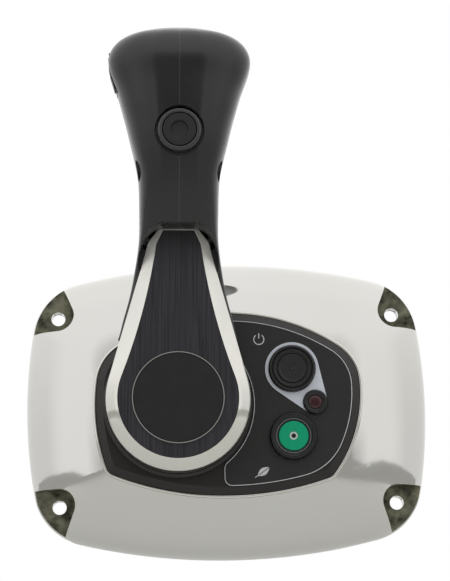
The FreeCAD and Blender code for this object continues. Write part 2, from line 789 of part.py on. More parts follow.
fasciaFront = s.plateauRise + s.fasciaThick
panelFront = fasciaFront + s.panelThick


def fasciaOutline(inset, rightCorner=None):
    """The fascia's edge drawn in by an inset, with its own lower right corner where one is given."""
    bows = [s.fasciaRightBow, s.fasciaTopBow, s.fasciaSideBow, s.fasciaBottomBow]
    topCorner = s.fasciaTopCorner - inset * 0.5
    bottomCorner = s.fasciaBottomCorner - inset * 0.5
    return bowedOutline(
        s.fasciaHalf - inset,
        s.fasciaTop - inset,
        s.fasciaBottom - inset,
        [bow - inset for bow in bows],
        [topCorner, topCorner, bottomCorner, rightCorner or bottomCorner],
        s.fasciaRightRise,
    )


def makeFascia():
    fascia = Piece("fascia_bezel")
    edge = s.plateauRise + s.fasciaThick * 0.25
    fascia.pad(fasciaOutline(amount(0)), s.plateauRise, edge)
    fascia.taper(fasciaOutline(amount(0)), edge, fasciaOutline(s.fasciaSlope), fasciaFront)
    holes = [circleProfile(s.hubX, 0, s.hubBossRadius + s.coverWall)]
    for up in (1, -1):
        holes.append(circleProfile(s.buttonX, s.buttonLevel * up, s.barrelRadius))
    holes.append(circleProfile(s.lampX, 0, s.lampBarrelRadius))
    fascia.cut(holes, s.plateauRise, fasciaFront)


def makePanel():
    panel = Piece("fascia_panel")
    edge = fasciaOutline(s.fasciaSlope + s.panelInset, s.panelRightCorner)
    panel.pad(edge, fasciaFront, panelFront)
    panel.cut(circleProfile(s.hubX, 0, s.panelHubRadius), fasciaFront, panelFront)
    far = s.fasciaHalf * 2
    panel.cut(boxProfile(-far, -far, s.panelLeft, far), fasciaFront, panelFront)

    def leftCorner(edge):
        box = edge.BoundBox
        upright = box.ZLength > amount(s.panelThick).value / 2
        return upright and box.XLength < 0.01 and abs(box.XMin - s.panelLeft.value) < 0.01

    panel.soften("Fillet", s.panelCorner, leftCorner)
    holes = []
    for up in (1, -1):
        holes.append(circleProfile(s.buttonX, s.buttonLevel * up, s.barrelRadius))
    holes.append(circleProfile(s.lampX, 0, s.lampBarrelRadius))
    panel.cut(holes, fasciaFront, panelFront)


def makeCollar():
    top = fasciaFront + s.collarThick
    bore = s.hubBossRadius + s.coverWall
    collar = Piece("hub_collar", s.hubX)
    collar.turned(
        [
            (bore, fasciaFront),
            (s.collarRadius, fasciaFront),
            (s.collarRadius, top - s.collarBevel),
            (s.collarRadius - s.collarBevel, top),
            (bore, top),
        ]
    )


# push buttons, lamp and their trim


def makeTrim():
    """A thin plate round the start button that runs to a point beside the lamp."""
    outer = s.bezelRadius + s.trimBand
    trim = Piece("button_trim")
    end = panelFront + s.trimThick
    trim.pad(circleProfile(s.buttonX, s.buttonLevel, outer), panelFront, end)
    dx, dy = s.lampX - s.buttonX, s.buttonLevel
    span = math.hypot(dx.value, dy.value)
    shrink = outer.value - s.lampBezelRadius.value
    toLamp = math.degrees(math.atan2(-dy.value, dx.value))
    opening = math.degrees(math.acos(shrink / span))
    points = []
    for x, y, radius, turn in (
        (s.buttonX, s.buttonLevel, outer, toLamp - opening),
        (s.lampX, 0, s.lampBezelRadius, toLamp - opening),
        (s.lampX, 0, s.lampBezelRadius, toLamp + opening),
        (s.buttonX, s.buttonLevel, outer, toLamp + opening),
    ):
        points.append((x + radius * math.cos(math.radians(turn)), y + radius * math.sin(math.radians(turn))))
    trim.pad(closedProfile(points), panelFront, end)
    holes = [
        circleProfile(s.buttonX, s.buttonLevel, s.bezelRadius),
        circleProfile(s.lampX, 0, s.lampBezelRadius),
    ]
    for hole in holes:
        trim.cut(hole, panelFront, end)


def makePushButton(name, level, nub):
    """A push button: bezel, cap that slides in it, and the switch barrel behind the panel."""
    rim = panelFront + s.bezelRise
    bore = s.capRadius + s.runningGap * 2
    bevel = s.bezelRise * 0.4
    bezel = Piece(name + "_bezel", s.buttonX, level)
    bezel.turned(
        [
            (bore, panelFront),
            (s.bezelRadius, panelFront),
            (s.bezelRadius, rim - bevel),
            (s.bezelRadius - bevel, rim),
            (bore, rim),
        ]
    )
    top = rim - s.capSink
    cap = Piece(name + "_button", s.buttonX, level)
    if nub:
        # a ring groove and a small nub in the middle of the cap
        ring, mid = s.capRadius * 0.3, s.capRadius * 0.15
        sink = s.capThick * 0.2
        cap.turned(
            [
                (0, top - s.capThick),
                (s.capRadius, top - s.capThick),
                (s.capRadius, top - sink),
                (s.capRadius - sink, top),
                (ring, top - sink),
                (mid, top - sink),
                (mid, top),
                (0, top),
            ]
        )
    else:
        lens, sink = s.capRadius * 0.25, s.capThick * 0.15
        cap.turned(
            [
                (0, top - s.capThick),
                (s.capRadius, top - s.capThick),
                (s.capRadius, top - sink),
                (s.capRadius - sink, top),
                (lens, top),
                (lens, top - sink),
                (0, top - sink),
            ]
        )
    seat = top - s.capThick - s.buttonTravel - s.runningGap
    barrel = Piece(name + "_switch", s.buttonX, level)
    barrel.turned(
        [
            (0, panelFront - s.barrelLength),
            (s.barrelRadius, panelFront - s.barrelLength),
            (s.barrelRadius, panelFront),
            (bore, panelFront),
            (bore, seat),
            (0, seat),
        ]
    )


def makeSwitchNuts():
    nuts = Piece("switch_nuts")
    back = s.plateauRise - s.switchNutThick
    for up in (1, -1):
        hexagon = hexagonProfile(s.buttonX, s.buttonLevel * up, s.switchNutRadius)
        bore = circleProfile(s.buttonX, s.buttonLevel * up, s.barrelRadius)
        nuts.pad([hexagon, bore], back, s.plateauRise)


def makeLamp():
    rim = panelFront + s.lampBezelRise
    bevel = s.lampBezelRise * 0.4
    bezel = Piece("lamp_bezel", s.lampX)
    bezel.turned(
        [
            (s.lensRadius, panelFront),
            (s.lampBezelRadius, panelFront),
            (s.lampBezelRadius, rim - bevel),
            (s.lampBezelRadius - bevel, rim),
            (s.lensRadius, rim),
        ]
    )
    lens = Piece("lamp_lens", s.lampX)
    lens.turned(disc(s.lensRadius, panelFront, rim - bevel * 0.3))
    lamp = Piece("lamp_barrel", s.lampX)
    lamp.turned(disc(s.lampBarrelRadius, panelFront - s.lampBarrelLength, panelFront))


# lever arm, inlay and hub cap, drawn with the lever's axis as origin


def armOutline(grow):
    """The arm's widest outline: a round hub end, straight flanks and a round shoulder."""
    radius = s.armHubRadius + grow
    lean = s.armLean
    leaveX, leaveY = radius * cosine(lean), radius * sine(lean)
    shoulder = leaveX - (s.armShoulder - leaveY) * tangent(lean)
    top, topHalf = s.armTop + grow, s.armTopHalf + grow
    bend = s.armTop - s.armShoulder + s.fitGap
    return closedProfile(
        [
            (0, -radius, radius, 1),
            (leaveX, leaveY),
            (shoulder, s.armShoulder, bend, 1),
            (topHalf, top),
            (-topHalf, top, bend, 1),
            (-shoulder, s.armShoulder),
            (-leaveX, leaveY, radius, 1),
        ]
    )


def frontOutline(inset):
    """The arm's front face: a round hub end and flanks that hollow towards a narrow top."""
    radius = s.frontHubRadius - inset
    lean = s.frontLean
    leaveX, leaveY = radius * cosine(lean), radius * sine(lean)
    shoulder, top = s.frontShoulderHalf - inset, s.frontTopHalf - inset
    return closedProfile(
        [
            (0, -radius, radius, 1),
            (leaveX, leaveY, s.frontHollow, -1),
            (shoulder, s.frontShoulder),
            (top, s.frontTop - inset),
            (-top, s.frontTop - inset),
            (-shoulder, s.frontShoulder, s.frontHollow, -1),
            (-leaveX, leaveY, radius, 1),
        ]
    )


tangFront = s.tangBack + s.tangThick
gripScrews = [(s.gripScrewLow, s.gripScrewDepth), (s.gripScrewHigh, s.gripScrewFront)]
inlayBack = s.armFront - s.inlaySink
inlayFront = inlayBack + s.inlayThick
washerBack = s.shaftFront
boltHeadFront = washerBack + s.washerThick + s.boltHeadThick


def makeArm():
    arm = Piece("lever_arm", onLever=True)
    arm.pad(armOutline(amount(0)), s.armBack, s.armEdge)
    arm.taper(armOutline(amount(0)), s.armEdge, frontOutline(amount(0)), s.armFront)
    rootY = s.armTop - s.armTopHalf
    arm.pad(boxProfile(-s.tangHalf, rootY, s.tangHalf, s.tangEnd), s.tangBack, tangFront)
    bossBack = s.framePlateBack + s.framePlateThick + s.bushFlange + s.hubBossGap
    arm.pad(circleProfile(0, 0, s.hubBossRadius), bossBack, s.armBack)
    arm.cut(frontOutline(s.rimWidth), inlayBack, s.armFront)
    arm.cut(circleProfile(0, 0, s.shaftRadius), bossBack, washerBack)
    arm.cut(circleProfile(0, 0, s.washerRadius), washerBack, inlayBack)
    half = s.keyWidth / 2
    keyFront = s.armBack
    keyBack = keyFront - s.keyLength
    arm.cut(boxProfile(-half, 0, half, s.shaftRadius + half), keyBack, keyFront)
    bore = circleProfile(s.gripScrewLow, s.gripScrewDepth, s.gripScrewRadius)
    arm.across(bore, -s.gripScrewSeat, s.gripScrewSeat)


def makeInlay():
    inlay = Piece("arm_inlay", onLever=True)
    inlay.pad(frontOutline(s.rimWidth), inlayBack, inlayFront)
    inlay.cut(circleProfile(0, 0, s.capDiscRadius), inlayBack, inlayFront)
    ring = Piece("cap_ring", onLever=True)
    inner = s.capDiscRadius - s.capRingBand
    front = inlayFront + s.capDiscProud
    ring.turned(tube(inner, s.capDiscRadius, inlayBack, front))
    cap = Piece("hub_cap", onLever=True)
    bevel = s.capDiscProud * 0.5
    cap.turned(
        [
            (0, inlayBack),
            (inner, inlayBack),
            (inner, front - bevel),
            (inner - bevel, front),
            (0, front),
        ]
    )


def makeShaft():
    front, rear = s.shaftFront, s.shaftRear
    shaft = Piece("lever_shaft", onLever=True)
    shaft.turned(disc(s.shaftRadius, rear, front))
    shaft.cut(circleProfile(0, 0, s.boltRadius), front - s.boltLength, front)
    half = s.keyWidth / 2
    key = boxProfile(-half, s.shaftRadius - half, half, s.shaftRadius + half)
    shaft.cut(key, s.armBack - s.keyLength, s.armBack)
    shaft.cut(key, brakeBack, s.detentFront)
    groove = s.shaftRadius - s.clipGroove
    clipFront = s.partitionBack - s.bushFlange - s.runningGap * 2
    outside = s.shaftRadius * 2
    shaft.turned(tube(groove, outside, clipFront - s.clipThick, clipFront), cut=True)
    shaftKey = Piece("shaft_key", onLever=True)
    shaftKey.pad(key, s.armBack - s.keyLength, s.armBack)
    clip = Piece("shaft_circlip", onLever=True)
    clip.turned(tube(groove, s.clipRadius, clipFront - s.clipThick, clipFront))
    slot = s.clipRadius * 0.35
    clip.cut(boxProfile(-slot, -outside, slot, 0), clipFront - s.clipThick, clipFront)
    washer = Piece("hub_washer", onLever=True)
    washer.turned(tube(s.boltRadius, s.washerRadius, washerBack, washerBack + s.washerThick))
    bolt = Piece("hub_bolt", onLever=True)
    head = washerBack + s.washerThick
    bolt.turned(
        [
            (0, front - s.boltLength),
            (s.boltRadius, front - s.boltLength),
            (s.boltRadius, head),
            (s.boltHeadRadius, head),
            (s.boltHeadRadius, boltHeadFront),
            (0, boltHeadFront),
        ]
    )
    socket = hexagonProfile(0, 0, s.boltHeadRadius * 0.5)
    bolt.cut(socket, boltHeadFront - s.boltHeadThick * 0.6, boltHeadFront)


def makeMagnet():
    holder = Piece("magnet_holder", onLever=True)
    rear = s.shaftRear - s.magnetHolderThick
    holder.turned(disc(s.magnetHolderRadius, rear, s.shaftRear))
    magnet = Piece("sensor_magnet", onLever=True)
    magnet.turned(disc(s.magnetRadius, rear - s.magnetThick, rear))


# detent and brake on the shaft

detentBack = s.detentFront - s.detentThick
brakeBack = s.brakeFront - s.brakeThick
partitionFront = s.partitionBack + s.partitionThick
bushRadius = s.shaftRadius + s.runningGap + s.bushWall


def discKeyOutline():
    half = s.keyWidth / 2
    return boxProfile(-half, s.shaftRadius - half, half, s.shaftRadius + half)


def makeDetent():
    wheel = Piece("detent_disc", onLever=True)
    wheel.turned(tube(s.shaftRadius, s.detentRadius, detentBack, s.detentFront))
    outside = s.detentRadius + s.notchDepth
    flare = s.notchDepth * 2
    for step in (-1, 0, 1):
        turn = s.notchStep * step
        rootRadius = s.detentRadius - s.notchDepth
        root = (rootRadius * sine(turn), rootRadius * cosine(turn))
        midX, midY = outside * sine(turn), outside * cosine(turn)
        notch = [root]
        for aside in (flare, -flare):
            notch.append((midX + aside * cosine(turn), midY - aside * sine(turn)))
        wheel.cut(closedProfile(notch), detentBack, s.detentFront)
    wheel.cut(discKeyOutline(), detentBack, s.detentFront)
    key = Piece("disc_key", onLever=True)
    key.pad(discKeyOutline(), brakeBack, s.detentFront)


def makeBrake():
    brake = Piece("brake_disc", onLever=True)
    brake.turned(tube(s.shaftRadius, s.brakeRadius, brakeBack, s.brakeFront))
    brake.cut(discKeyOutline(), brakeBack, s.brakeFront)
    sleeve = Piece("disc_spacer", onLever=True)
    sleeve.turned(tube(s.shaftRadius, bushRadius, s.brakeFront, detentBack))
    sleeve.cut(discKeyOutline(), s.brakeFront, detentBack)
    rear = Piece("rear_spacer", onLever=True)
    flangeFront = partitionFront + s.bushFlange + s.runningGap
    rear.turned(tube(s.shaftRadius, bushRadius, flangeFront, brakeBack))
    padFront = brakeBack - s.padGap
    pad = Piece("brake_pad", s.hubX + s.padAside)
    pad.turned(disc(s.padRadius, padFront - s.padThick, padFront))
    adjuster = Piece("brake_adjuster", s.hubX + s.padAside)
    tip = padFront - s.padThick
    adjuster.turned(disc(s.adjusterRadius, tip - s.adjusterLength, tip))


def makeDetentSpring():
    """A leaf screwed to the housing's ceiling, with a V that rests in the middle notch."""
    ceiling = s.housingUp - s.housingWall
    middle = s.detentFront - s.detentThick / 2
    back, front = middle - s.springWidth / 2, middle + s.springWidth / 2
    tip = s.detentRadius - s.notchDepth + s.fitGap
    rise = tip + s.notchDepth * 1.6
    half = s.notchDepth * 1.1
    thick = s.springThick
    reach = s.springWidth * 3
    fold = s.springWidth
    leaf = Piece("detent_spring", s.hubX)
    leaf.pad(
        closedProfile(
            [
                (0, tip),
                (half, rise),
                (fold, ceiling - thick),
                (reach, ceiling - thick),
                (reach, ceiling),
                (fold - thick, ceiling),
                (half - thick, rise + thick),
                (0, tip + thick * 2),
                (thick - half, rise + thick),
                (-half, rise),
            ]
        ),
        back,
        front,
    )
    place = (fold + reach) / 2
    bore = circleProfile(place, middle, s.smallScrewRadius)
    leaf.column(bore, ceiling - thick, ceiling, cut=True)
    screw = Piece("detent_screw", s.hubX)
    screw.column(bore, ceiling - thick, s.housingUp)
    head = ceiling - thick - s.smallHeadThick
    screw.column(circleProfile(place, middle, s.smallHeadRadius), head, ceiling - thick)
    return place, middle


# frame plate, housing and rear cover

frameFront = s.framePlateBack + s.framePlateThick
housingBossX = s.housingHalf - s.housingBossInset
housingBossUp = s.housingUp - s.housingBossInset


def fourCorners(x, y):
    return [(x * across, y * up) for across in (1, -1) for up in (1, -1)]


def circlesAt(places, radius):
    return [circleProfile(x, y, radius) for x, y in places]


def makeFramePlate():
    plate = Piece("frame_plate")
    half, up = s.framePlateHalf, s.framePlateUp
    plate.pad(roundedBox(-half, -up, half, up, s.housingCorner), s.framePlateBack, frameFront)
    bossBack = s.detentFront + s.hubBossGap
    boss = circleProfile(s.hubX, 0, bushRadius + s.bushFlange)
    plate.pad(boss, bossBack, s.framePlateBack)
    plate.cut(circleProfile(s.hubX, 0, bushRadius), bossBack, frameFront)
    plate.cut(circlesAt(fourCorners(s.frameBossX, s.frameBossUp), s.smallScrewRadius),
              s.framePlateBack, frameFront)
    plate.cut(circlesAt(fourCorners(housingBossX, housingBossUp), s.smallScrewRadius),
              s.framePlateBack, frameFront)
    top = s.buttonLevel
    window = roundedBox(s.buttonX - s.barrelRadius, -top, s.lampX, top, s.bushWall)
    plate.cut(window, s.framePlateBack, frameFront)
    front = Piece("front_bush", s.hubX)
    bore = s.shaftRadius + s.runningGap
    front.turned(
        [
            (bore, bossBack),
            (bushRadius, bossBack),
            (bushRadius, frameFront),
            (bushRadius + s.bushFlange, frameFront),
            (bushRadius + s.bushFlange, frameFront + s.bushFlange),
            (bore, frameFront + s.bushFlange),
        ]
    )


def makeHousing(springScrew):
    """The housing and its rear bush; springScrew is where the detent spring's screw enters it."""
    half, up, corner = s.housingHalf, s.housingUp, s.housingCorner
    wall = s.housingWall
    front, back = s.framePlateBack, s.housingBack
    inner = roundedBox(wall - half, wall - up, half - wall, up - wall, corner - wall)
    housing = Piece("rear_housing")
    housing.pad(roundedBox(-half, -up, half, up, corner), back, front)
    housing.cut(inner, partitionFront, front)
    housing.cut(inner, back, s.partitionBack)
    places = fourCorners(housingBossX, housingBossUp)
    housing.pad(circlesAt(places, s.housingBossRadius), back, front)
    housing.cut(circlesAt(places, s.smallScrewRadius), front - s.smallScrewGrip, front)
    housing.cut(circlesAt(places, s.smallScrewRadius), back, back + s.smallScrewGrip)
    holes = [
        circleProfile(s.hubX, 0, bushRadius),
        circleProfile(s.hubX + s.padAside, 0, s.adjusterRadius),
        circleProfile(s.connectorX, 0, s.connectorRadius),
    ]
    housing.cut(holes, s.partitionBack, partitionFront)
    place, middle = springScrew
    ceiling = up - wall
    housing.column(circleProfile(s.hubX + place, middle, s.smallScrewRadius), ceiling, up, cut=True)
    bush = Piece("rear_bush", s.hubX)
    bore = s.shaftRadius + s.runningGap
    bush.turned(
        [
            (bore, s.partitionBack),
            (bushRadius, s.partitionBack),
            (bushRadius, partitionFront),
            (bushRadius + s.bushFlange, partitionFront),
            (bushRadius + s.bushFlange, partitionFront + s.bushFlange),
            (bore, partitionFront + s.bushFlange),
        ]
    )
    washer = Piece("thrust_washer", s.hubX)
    washer.turned(tube(bore, bushRadius + s.bushFlange, s.partitionBack - s.bushFlange, s.partitionBack))


def makeRearCover():
    cover = Piece("rear_cover")
    back = s.housingBack - s.rearCoverThick
    half, up = s.housingHalf, s.housingUp
    cover.pad(roundedBox(-half, -up, half, up, s.housingCorner), back, s.housingBack)
    cover.cut(circlesAt(fourCorners(housingBossX, housingBossUp), s.smallScrewRadius), back, s.housingBack)
    core = s.connectorRadius - s.connectorWall
    cover.cut(circleProfile(s.connectorX, 0, core), back, s.housingBack)
    socket = Piece("connector_socket", s.connectorX)
    mouth = back - s.connectorLength
    floor = back - s.connectorWall
    socket.turned(
        [
            (core, mouth),
            (s.connectorRadius, mouth),
            (s.connectorRadius, back),
            (core, back),
            (core, s.housingBack + s.connectorWall),
            (0, s.housingBack + s.connectorWall),
            (0, floor),
            (core, floor),
        ]
    )


def makeScrews(name, places, seat, head, tip):
    """A group of equal screws: a head from its seat to its top, and a shank from the seat to its tip."""
    screws = Piece(name)
    if amount(head).value > amount(seat).value:
        screws.pad(circlesAt(places, s.smallHeadRadius), seat, head)
        screws.pad(circlesAt(places, s.smallScrewRadius), tip, seat)
    else:
        screws.pad(circlesAt(places, s.smallHeadRadius), head, seat)
        screws.pad(circlesAt(places, s.smallScrewRadius), seat, tip)


def makeAllScrews():
    grip, head = s.smallScrewGrip, s.smallHeadThick
    frame = fourCorners(s.frameBossX, s.frameBossUp)
    corner = fourCorners(housingBossX, housingBossUp)
    back = s.framePlateBack
    makeScrews("frame_screws", frame, back, back - head, frameFront + grip)
    makeScrews("housing_screws", corner, frameFront, frameFront + head, back - grip)
    rear = s.housingBack - s.rearCoverThick
    makeScrews("rear_cover_screws", corner, rear, rear - head, s.housingBack + grip)


def makeBoard():
    back = s.boardFront - s.boardThick
    left, right = s.hubX - s.boardHalf, s.hubX + s.boardHalf
    postX, postY = s.boardHalf - s.standoffInset, s.boardUp - s.standoffInset
    places = [(s.hubX + x, y) for x, y in fourCorners(postX, postY)]
    board = Piece("circuit_board")
    board.pad(boxProfile(left, -s.boardUp, right, s.boardUp), back, s.boardFront)
    board.cut(circlesAt(places, s.smallScrewRadius), back, s.boardFront)
    chip = Piece("sensor_chip")
    half = s.chipHalf
    chip.pad(boxProfile(s.hubX - half, -half, s.hubX + half, half), s.boardFront, s.boardFront + s.chipThick)
    posts = Piece("board_standoffs")
    posts.pad(circlesAt(places, s.standoffRadius), s.boardFront, s.partitionBack)
    posts.cut(circlesAt(places, s.smallScrewRadius), s.boardFront, s.boardFront + s.smallScrewGrip)
    makeScrews("board_screws", places, back, back - s.smallHeadThick, s.boardFront + s.smallScrewGrip)


# grip: two moulded halves round the tang, with their screws, button and side rocker


sectionSteps = 10


def steadyCurve(places, values, wanted):
    """A smooth curve through the stations' values that never swings past them."""
    slopes = [(values[n + 1] - values[n]) / (places[n + 1] - places[n]) for n in range(len(places) - 1)]
    tangents = [slopes[0]]
    for before, after in zip(slopes, slopes[1:]):
        turns = before * after <= 0
        tangents.append(0.0 if turns else 2 * before * after / (before + after))
    tangents.append(slopes[-1])
    found = []
    for place in wanted:
        n = max(k for k in range(len(slopes)) if places[k] <= place or k == 0)
        step = places[n + 1] - places[n]
        u = (place - places[n]) / step
        found.append(
            (2 * u**3 - 3 * u**2 + 1) * values[n]
            + (u**3 - 2 * u**2 + u) * step * tangents[n]
            + (3 * u**2 - 2 * u**3) * values[n + 1]
            + (u**3 - u**2) * step * tangents[n + 1]
        )
    return found


def gripLevels(start, end):
    """Heights for the grip's sections: even steps, then closer ones where the head rounds over."""
    step = s.gripStep.value
    count = max(int(round((end - start) / step)), 2)
    levels = [start + (end - start) * n / count for n in range(count)]
    for share in (0.5, 0.78, 0.93):
        levels.append(levels[count - 1] + (end - start) / count * share)
    return levels + [end]


def gripSection(side, level, half, back, front, square):
    """Half of the grip's cross section: a full curve from back to front and a straight middle."""
    middle, reach = (back + front) / 2, (front - back) / 2
    power = 2 / square
    points = [Vector(0, level, back)]
    for number in range(1, sectionSteps):
        turn = math.pi * (number / sectionSteps - 0.5)
        x = half * math.cos(turn) ** power
        out = math.copysign(abs(math.sin(turn)) ** power, turn)
        points.append(Vector(side * x, level, middle + out * reach))
    points.append(Vector(0, level, front))
    curve = Part.BSplineCurve()
    curve.interpolate(Points=points, InitialTangent=Vector(side, 0, 0), FinalTangent=Vector(-side, 0, 0))
    return Part.Wire([curve.toShape(), Part.makeLine(points[-1], points[0])])


def gripForm(side, start, end, wall):
    """One half of the grip between two heights, drawn in by a wall."""
    names = [station[0] for station in gripStations]
    heights = [getattr(s, name + "Height").value for name in names]
    levels = gripLevels(start, end)
    columns = []
    for part in ("Half", "Back", "Front", "Square"):
        values = [getattr(s, name + part).value for name in names]
        columns.append(steadyCurve(heights, values, levels))
    sections = []
    for level, half, back, front, square in zip(levels, *columns):
        sections.append(gripSection(side, level, half - wall, back + wall, front - wall, square))
    return Part.makeLoft(sections, True, False)


def makeGripHalf(name, side):
    wall = s.gripWall.value
    outer = gripForm(side, s.skirtHeight.value, s.summitHeight.value, 0)
    inner = gripForm(side, s.hollowStart.value, s.crownHeight.value - wall, wall)
    form = doc.addObject("Part::Feature", name + "_form")
    form.Shape = outer.cut(inner)
    half = Piece(name, onLever=True)
    half.body.BaseFeature = form
    far = s.browFront + s.gripWall
    gap = s.fitGap
    archWide = s.archFootHalf + s.archLow * tangent(s.armLean)
    arch = closedProfile(
        [
            (-archWide, 0),
            (archWide, 0),
            (s.archFootHalf, s.archLow, s.archRound, 1),
            (s.archTopHalf, s.archTop),
            (-s.archTopHalf, s.archTop, s.archRound, 1),
            (-s.archFootHalf, s.archLow),
        ]
    )
    half.cut(arch, s.armEdge - gap, far)
    half.cut(armOutline(gap), s.armBack - gap, s.armFront + gap)
    tangSide = s.tangHalf + gap
    slot = boxProfile(-tangSide, s.armShoulder, tangSide, s.tangEnd + gap)
    half.cut(slot, s.tangBack - gap, tangFront + gap)
    collarBack = s.thumbCollarFront - s.thumbCollarDeep
    half.cut(circleProfile(0, s.thumbLevel, s.thumbCollarRadius), collarBack, far)
    well = circleProfile(0, s.thumbLevel, s.thumbSwitchRadius)
    half.cut(well, collarBack - s.thumbSwitchDeep, collarBack)
    for level, depth in gripScrews:
        bore = circleProfile(level, depth, s.gripScrewRadius)
        recess = circleProfile(level, depth, s.gripRecessRadius)
        if side > 0:
            half.across(bore, 0, far)
            half.across(recess, s.gripScrewSeat, far)
        else:
            half.across(bore, -far, 0)
            half.across(recess, -far, -s.gripScrewSeat)
    if side < 0:
        length, deep = s.rockerLength / 2, s.rockerDeep
        pocket = rockerProfile([(-length, -deep), (length, -deep), (length, deep), (-length, deep)])
        low, high = s.rockerDepth - s.rockerWidth / 2, s.rockerDepth + s.rockerWidth / 2
        half.cut(pocket, low, high)


def rockerProfile(points):
    """An outline on the rocker's own leaning axes: along its face, and inwards from its face."""
    placed = []
    for along, inward in points:
        x = inward * cosine(s.rockerLean) - along * sine(s.rockerLean) - s.rockerOut
        y = along * cosine(s.rockerLean) + inward * sine(s.rockerLean) + s.rockerLevel
        placed.append((x, y))
    return closedProfile(placed)


def rockerCircle(inward, radius):
    x = inward * cosine(s.rockerLean) - s.rockerOut
    y = inward * sine(s.rockerLean) + s.rockerLevel
    return circleProfile(x, y, radius)


def makeRocker():
    length, width = s.rockerLength / 2, s.rockerWidth / 2
    inside, insideWidth = length - s.rockerRim, width - s.rockerRim
    middle = s.rockerDepth
    frame = Piece("rocker_frame", onLever=True)
    frame.pad(rockerProfile([(-length, 0), (length, 0), (length, s.rockerDeep), (-length, s.rockerDeep)]),
              middle - width, middle + width)
    floor = s.rockerDeep - s.rockerRim
    well = rockerProfile([(-inside, -1), (inside, -1), (inside, floor), (-inside, floor)])
    frame.cut(well, middle - insideWidth, middle + insideWidth)
    pinEnd = width - s.rockerGap * 2
    frame.cut(rockerCircle(s.rockerPivot, s.rockerPinRadius + s.runningGap), middle - pinEnd, middle + pinEnd)
    rocker = Piece("side_rocker", onLever=True)
    reach, thick = inside - s.rockerEndGap, s.rockerThick - s.rockerRim / 2
    face = rockerProfile(
        [
            (-reach, thick),
            (reach, thick),
            (reach, -s.rockerCrown / 2),
            (0, -s.rockerCrown),
            (-reach, -s.rockerCrown / 2),
        ]
    )
    side = insideWidth - s.rockerGap
    rocker.pad(face, middle - side, middle + side)
    pinLength = pinEnd - s.runningGap * 2
    pins = rockerCircle(s.rockerPivot, s.rockerPinRadius)
    rocker.pad(pins, middle - pinLength, middle + pinLength)
    module = Piece("rocker_switch", onLever=True)
    back = s.rockerDeep * 2
    module.pad(rockerProfile([(-inside, s.rockerDeep), (inside, s.rockerDeep), (inside, back), (-inside, back)]),
               middle - insideWidth, middle + insideWidth)


def makeGripButton():
    front, back = s.thumbCollarFront, s.thumbCollarFront - s.thumbCollarDeep
    bevel = s.thumbSink * 4
    bore = s.thumbRadius + s.runningGap * 2
    collar = Piece("grip_collar", 0, s.thumbLevel, onLever=True)
    collar.turned(
        [
            (bore, back),
            (s.thumbCollarRadius, back),
            (s.thumbCollarRadius, front - bevel),
            (s.thumbCollarRadius - bevel, front),
            (bore, front),
        ]
    )
    top = front - s.thumbSink
    dimple = s.thumbDimple
    button = Piece("grip_button", 0, s.thumbLevel, onLever=True)
    button.turned(
        [
            (0, top - s.thumbThick),
            (s.thumbRadius, top - s.thumbThick),
            (s.thumbRadius, top - bevel / 2),
            (s.thumbRadius - bevel / 2, top),
            (dimple, top),
            (dimple - bevel, top - bevel),
            (0, top - bevel),
        ]
    )
    module = Piece("grip_switch", 0, s.thumbLevel, onLever=True)
    module.turned(disc(s.thumbSwitchRadius, back - s.thumbSwitchDeep, back))


def makeGripScrews():
    seat = s.gripScrewSeat
    screws = Piece("grip_screws", onLever=True)
    nuts = Piece("grip_nuts", onLever=True)
    head = s.gripHeadThick
    heads = [circleProfile(level, depth, s.gripHeadRadius) for level, depth in gripScrews]
    shanks = [circleProfile(level, depth, s.gripScrewRadius) for level, depth in gripScrews]
    screws.across(heads, -seat - head, -seat, cut=False)
    screws.across(shanks, -seat, seat + head, cut=False)
    for level, depth in gripScrews:
        hexagon = hexagonProfile(level, depth, s.gripHeadRadius)
        bore = circleProfile(level, depth, s.gripScrewRadius)
        nuts.across([hexagon, bore], seat, seat + head, cut=False)


makeCover()
makeGasket()
makeFascia()
makePanel()
makeCollar()
makeTrim()
makePushButton("start", s.buttonLevel, True)
makePushButton("eco", -s.buttonLevel, False)
makeSwitchNuts()
makeLamp()
makeArm()
makeInlay()
makeShaft()
makeMagnet()
makeDetent()
makeBrake()
springScrew = makeDetentSpring()
makeFramePlate()
makeHousing(springScrew)
makeRearCover()
makeAllScrews()
makeBoard()
makeGripHalf("grip_left", -1)
makeGripHalf("grip_right", 1)
makeRocker()
makeGripButton()
makeGripScrews()

doc.recompute()
for item in doc.Objects:
    if "Invalid" in item.State or "Error" in item.State:
        raise RuntimeError("%s could not be computed" % item.Label)
os.makedirs("parts", exist_ok=True)
for piece in pieces:
    shape = piece.Shape
    if shape.isNull() or not shape.isValid() or shape.Volume <= 0:
        raise RuntimeError("%s has no valid shape" % piece.Label)
for piece in pieces:
    piece.Shape.exportStep(os.path.join("parts", piece.Label + ".step"))
    print("%s: %d solid(s), %.1f mm3" % (piece.Label, len(piece.Shape.Solids), piece.Shape.Volume))
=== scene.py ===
import math

import bmesh
import bpy
from mathutils import Matrix, Vector
from mathutils.bvhtree import BVHTree


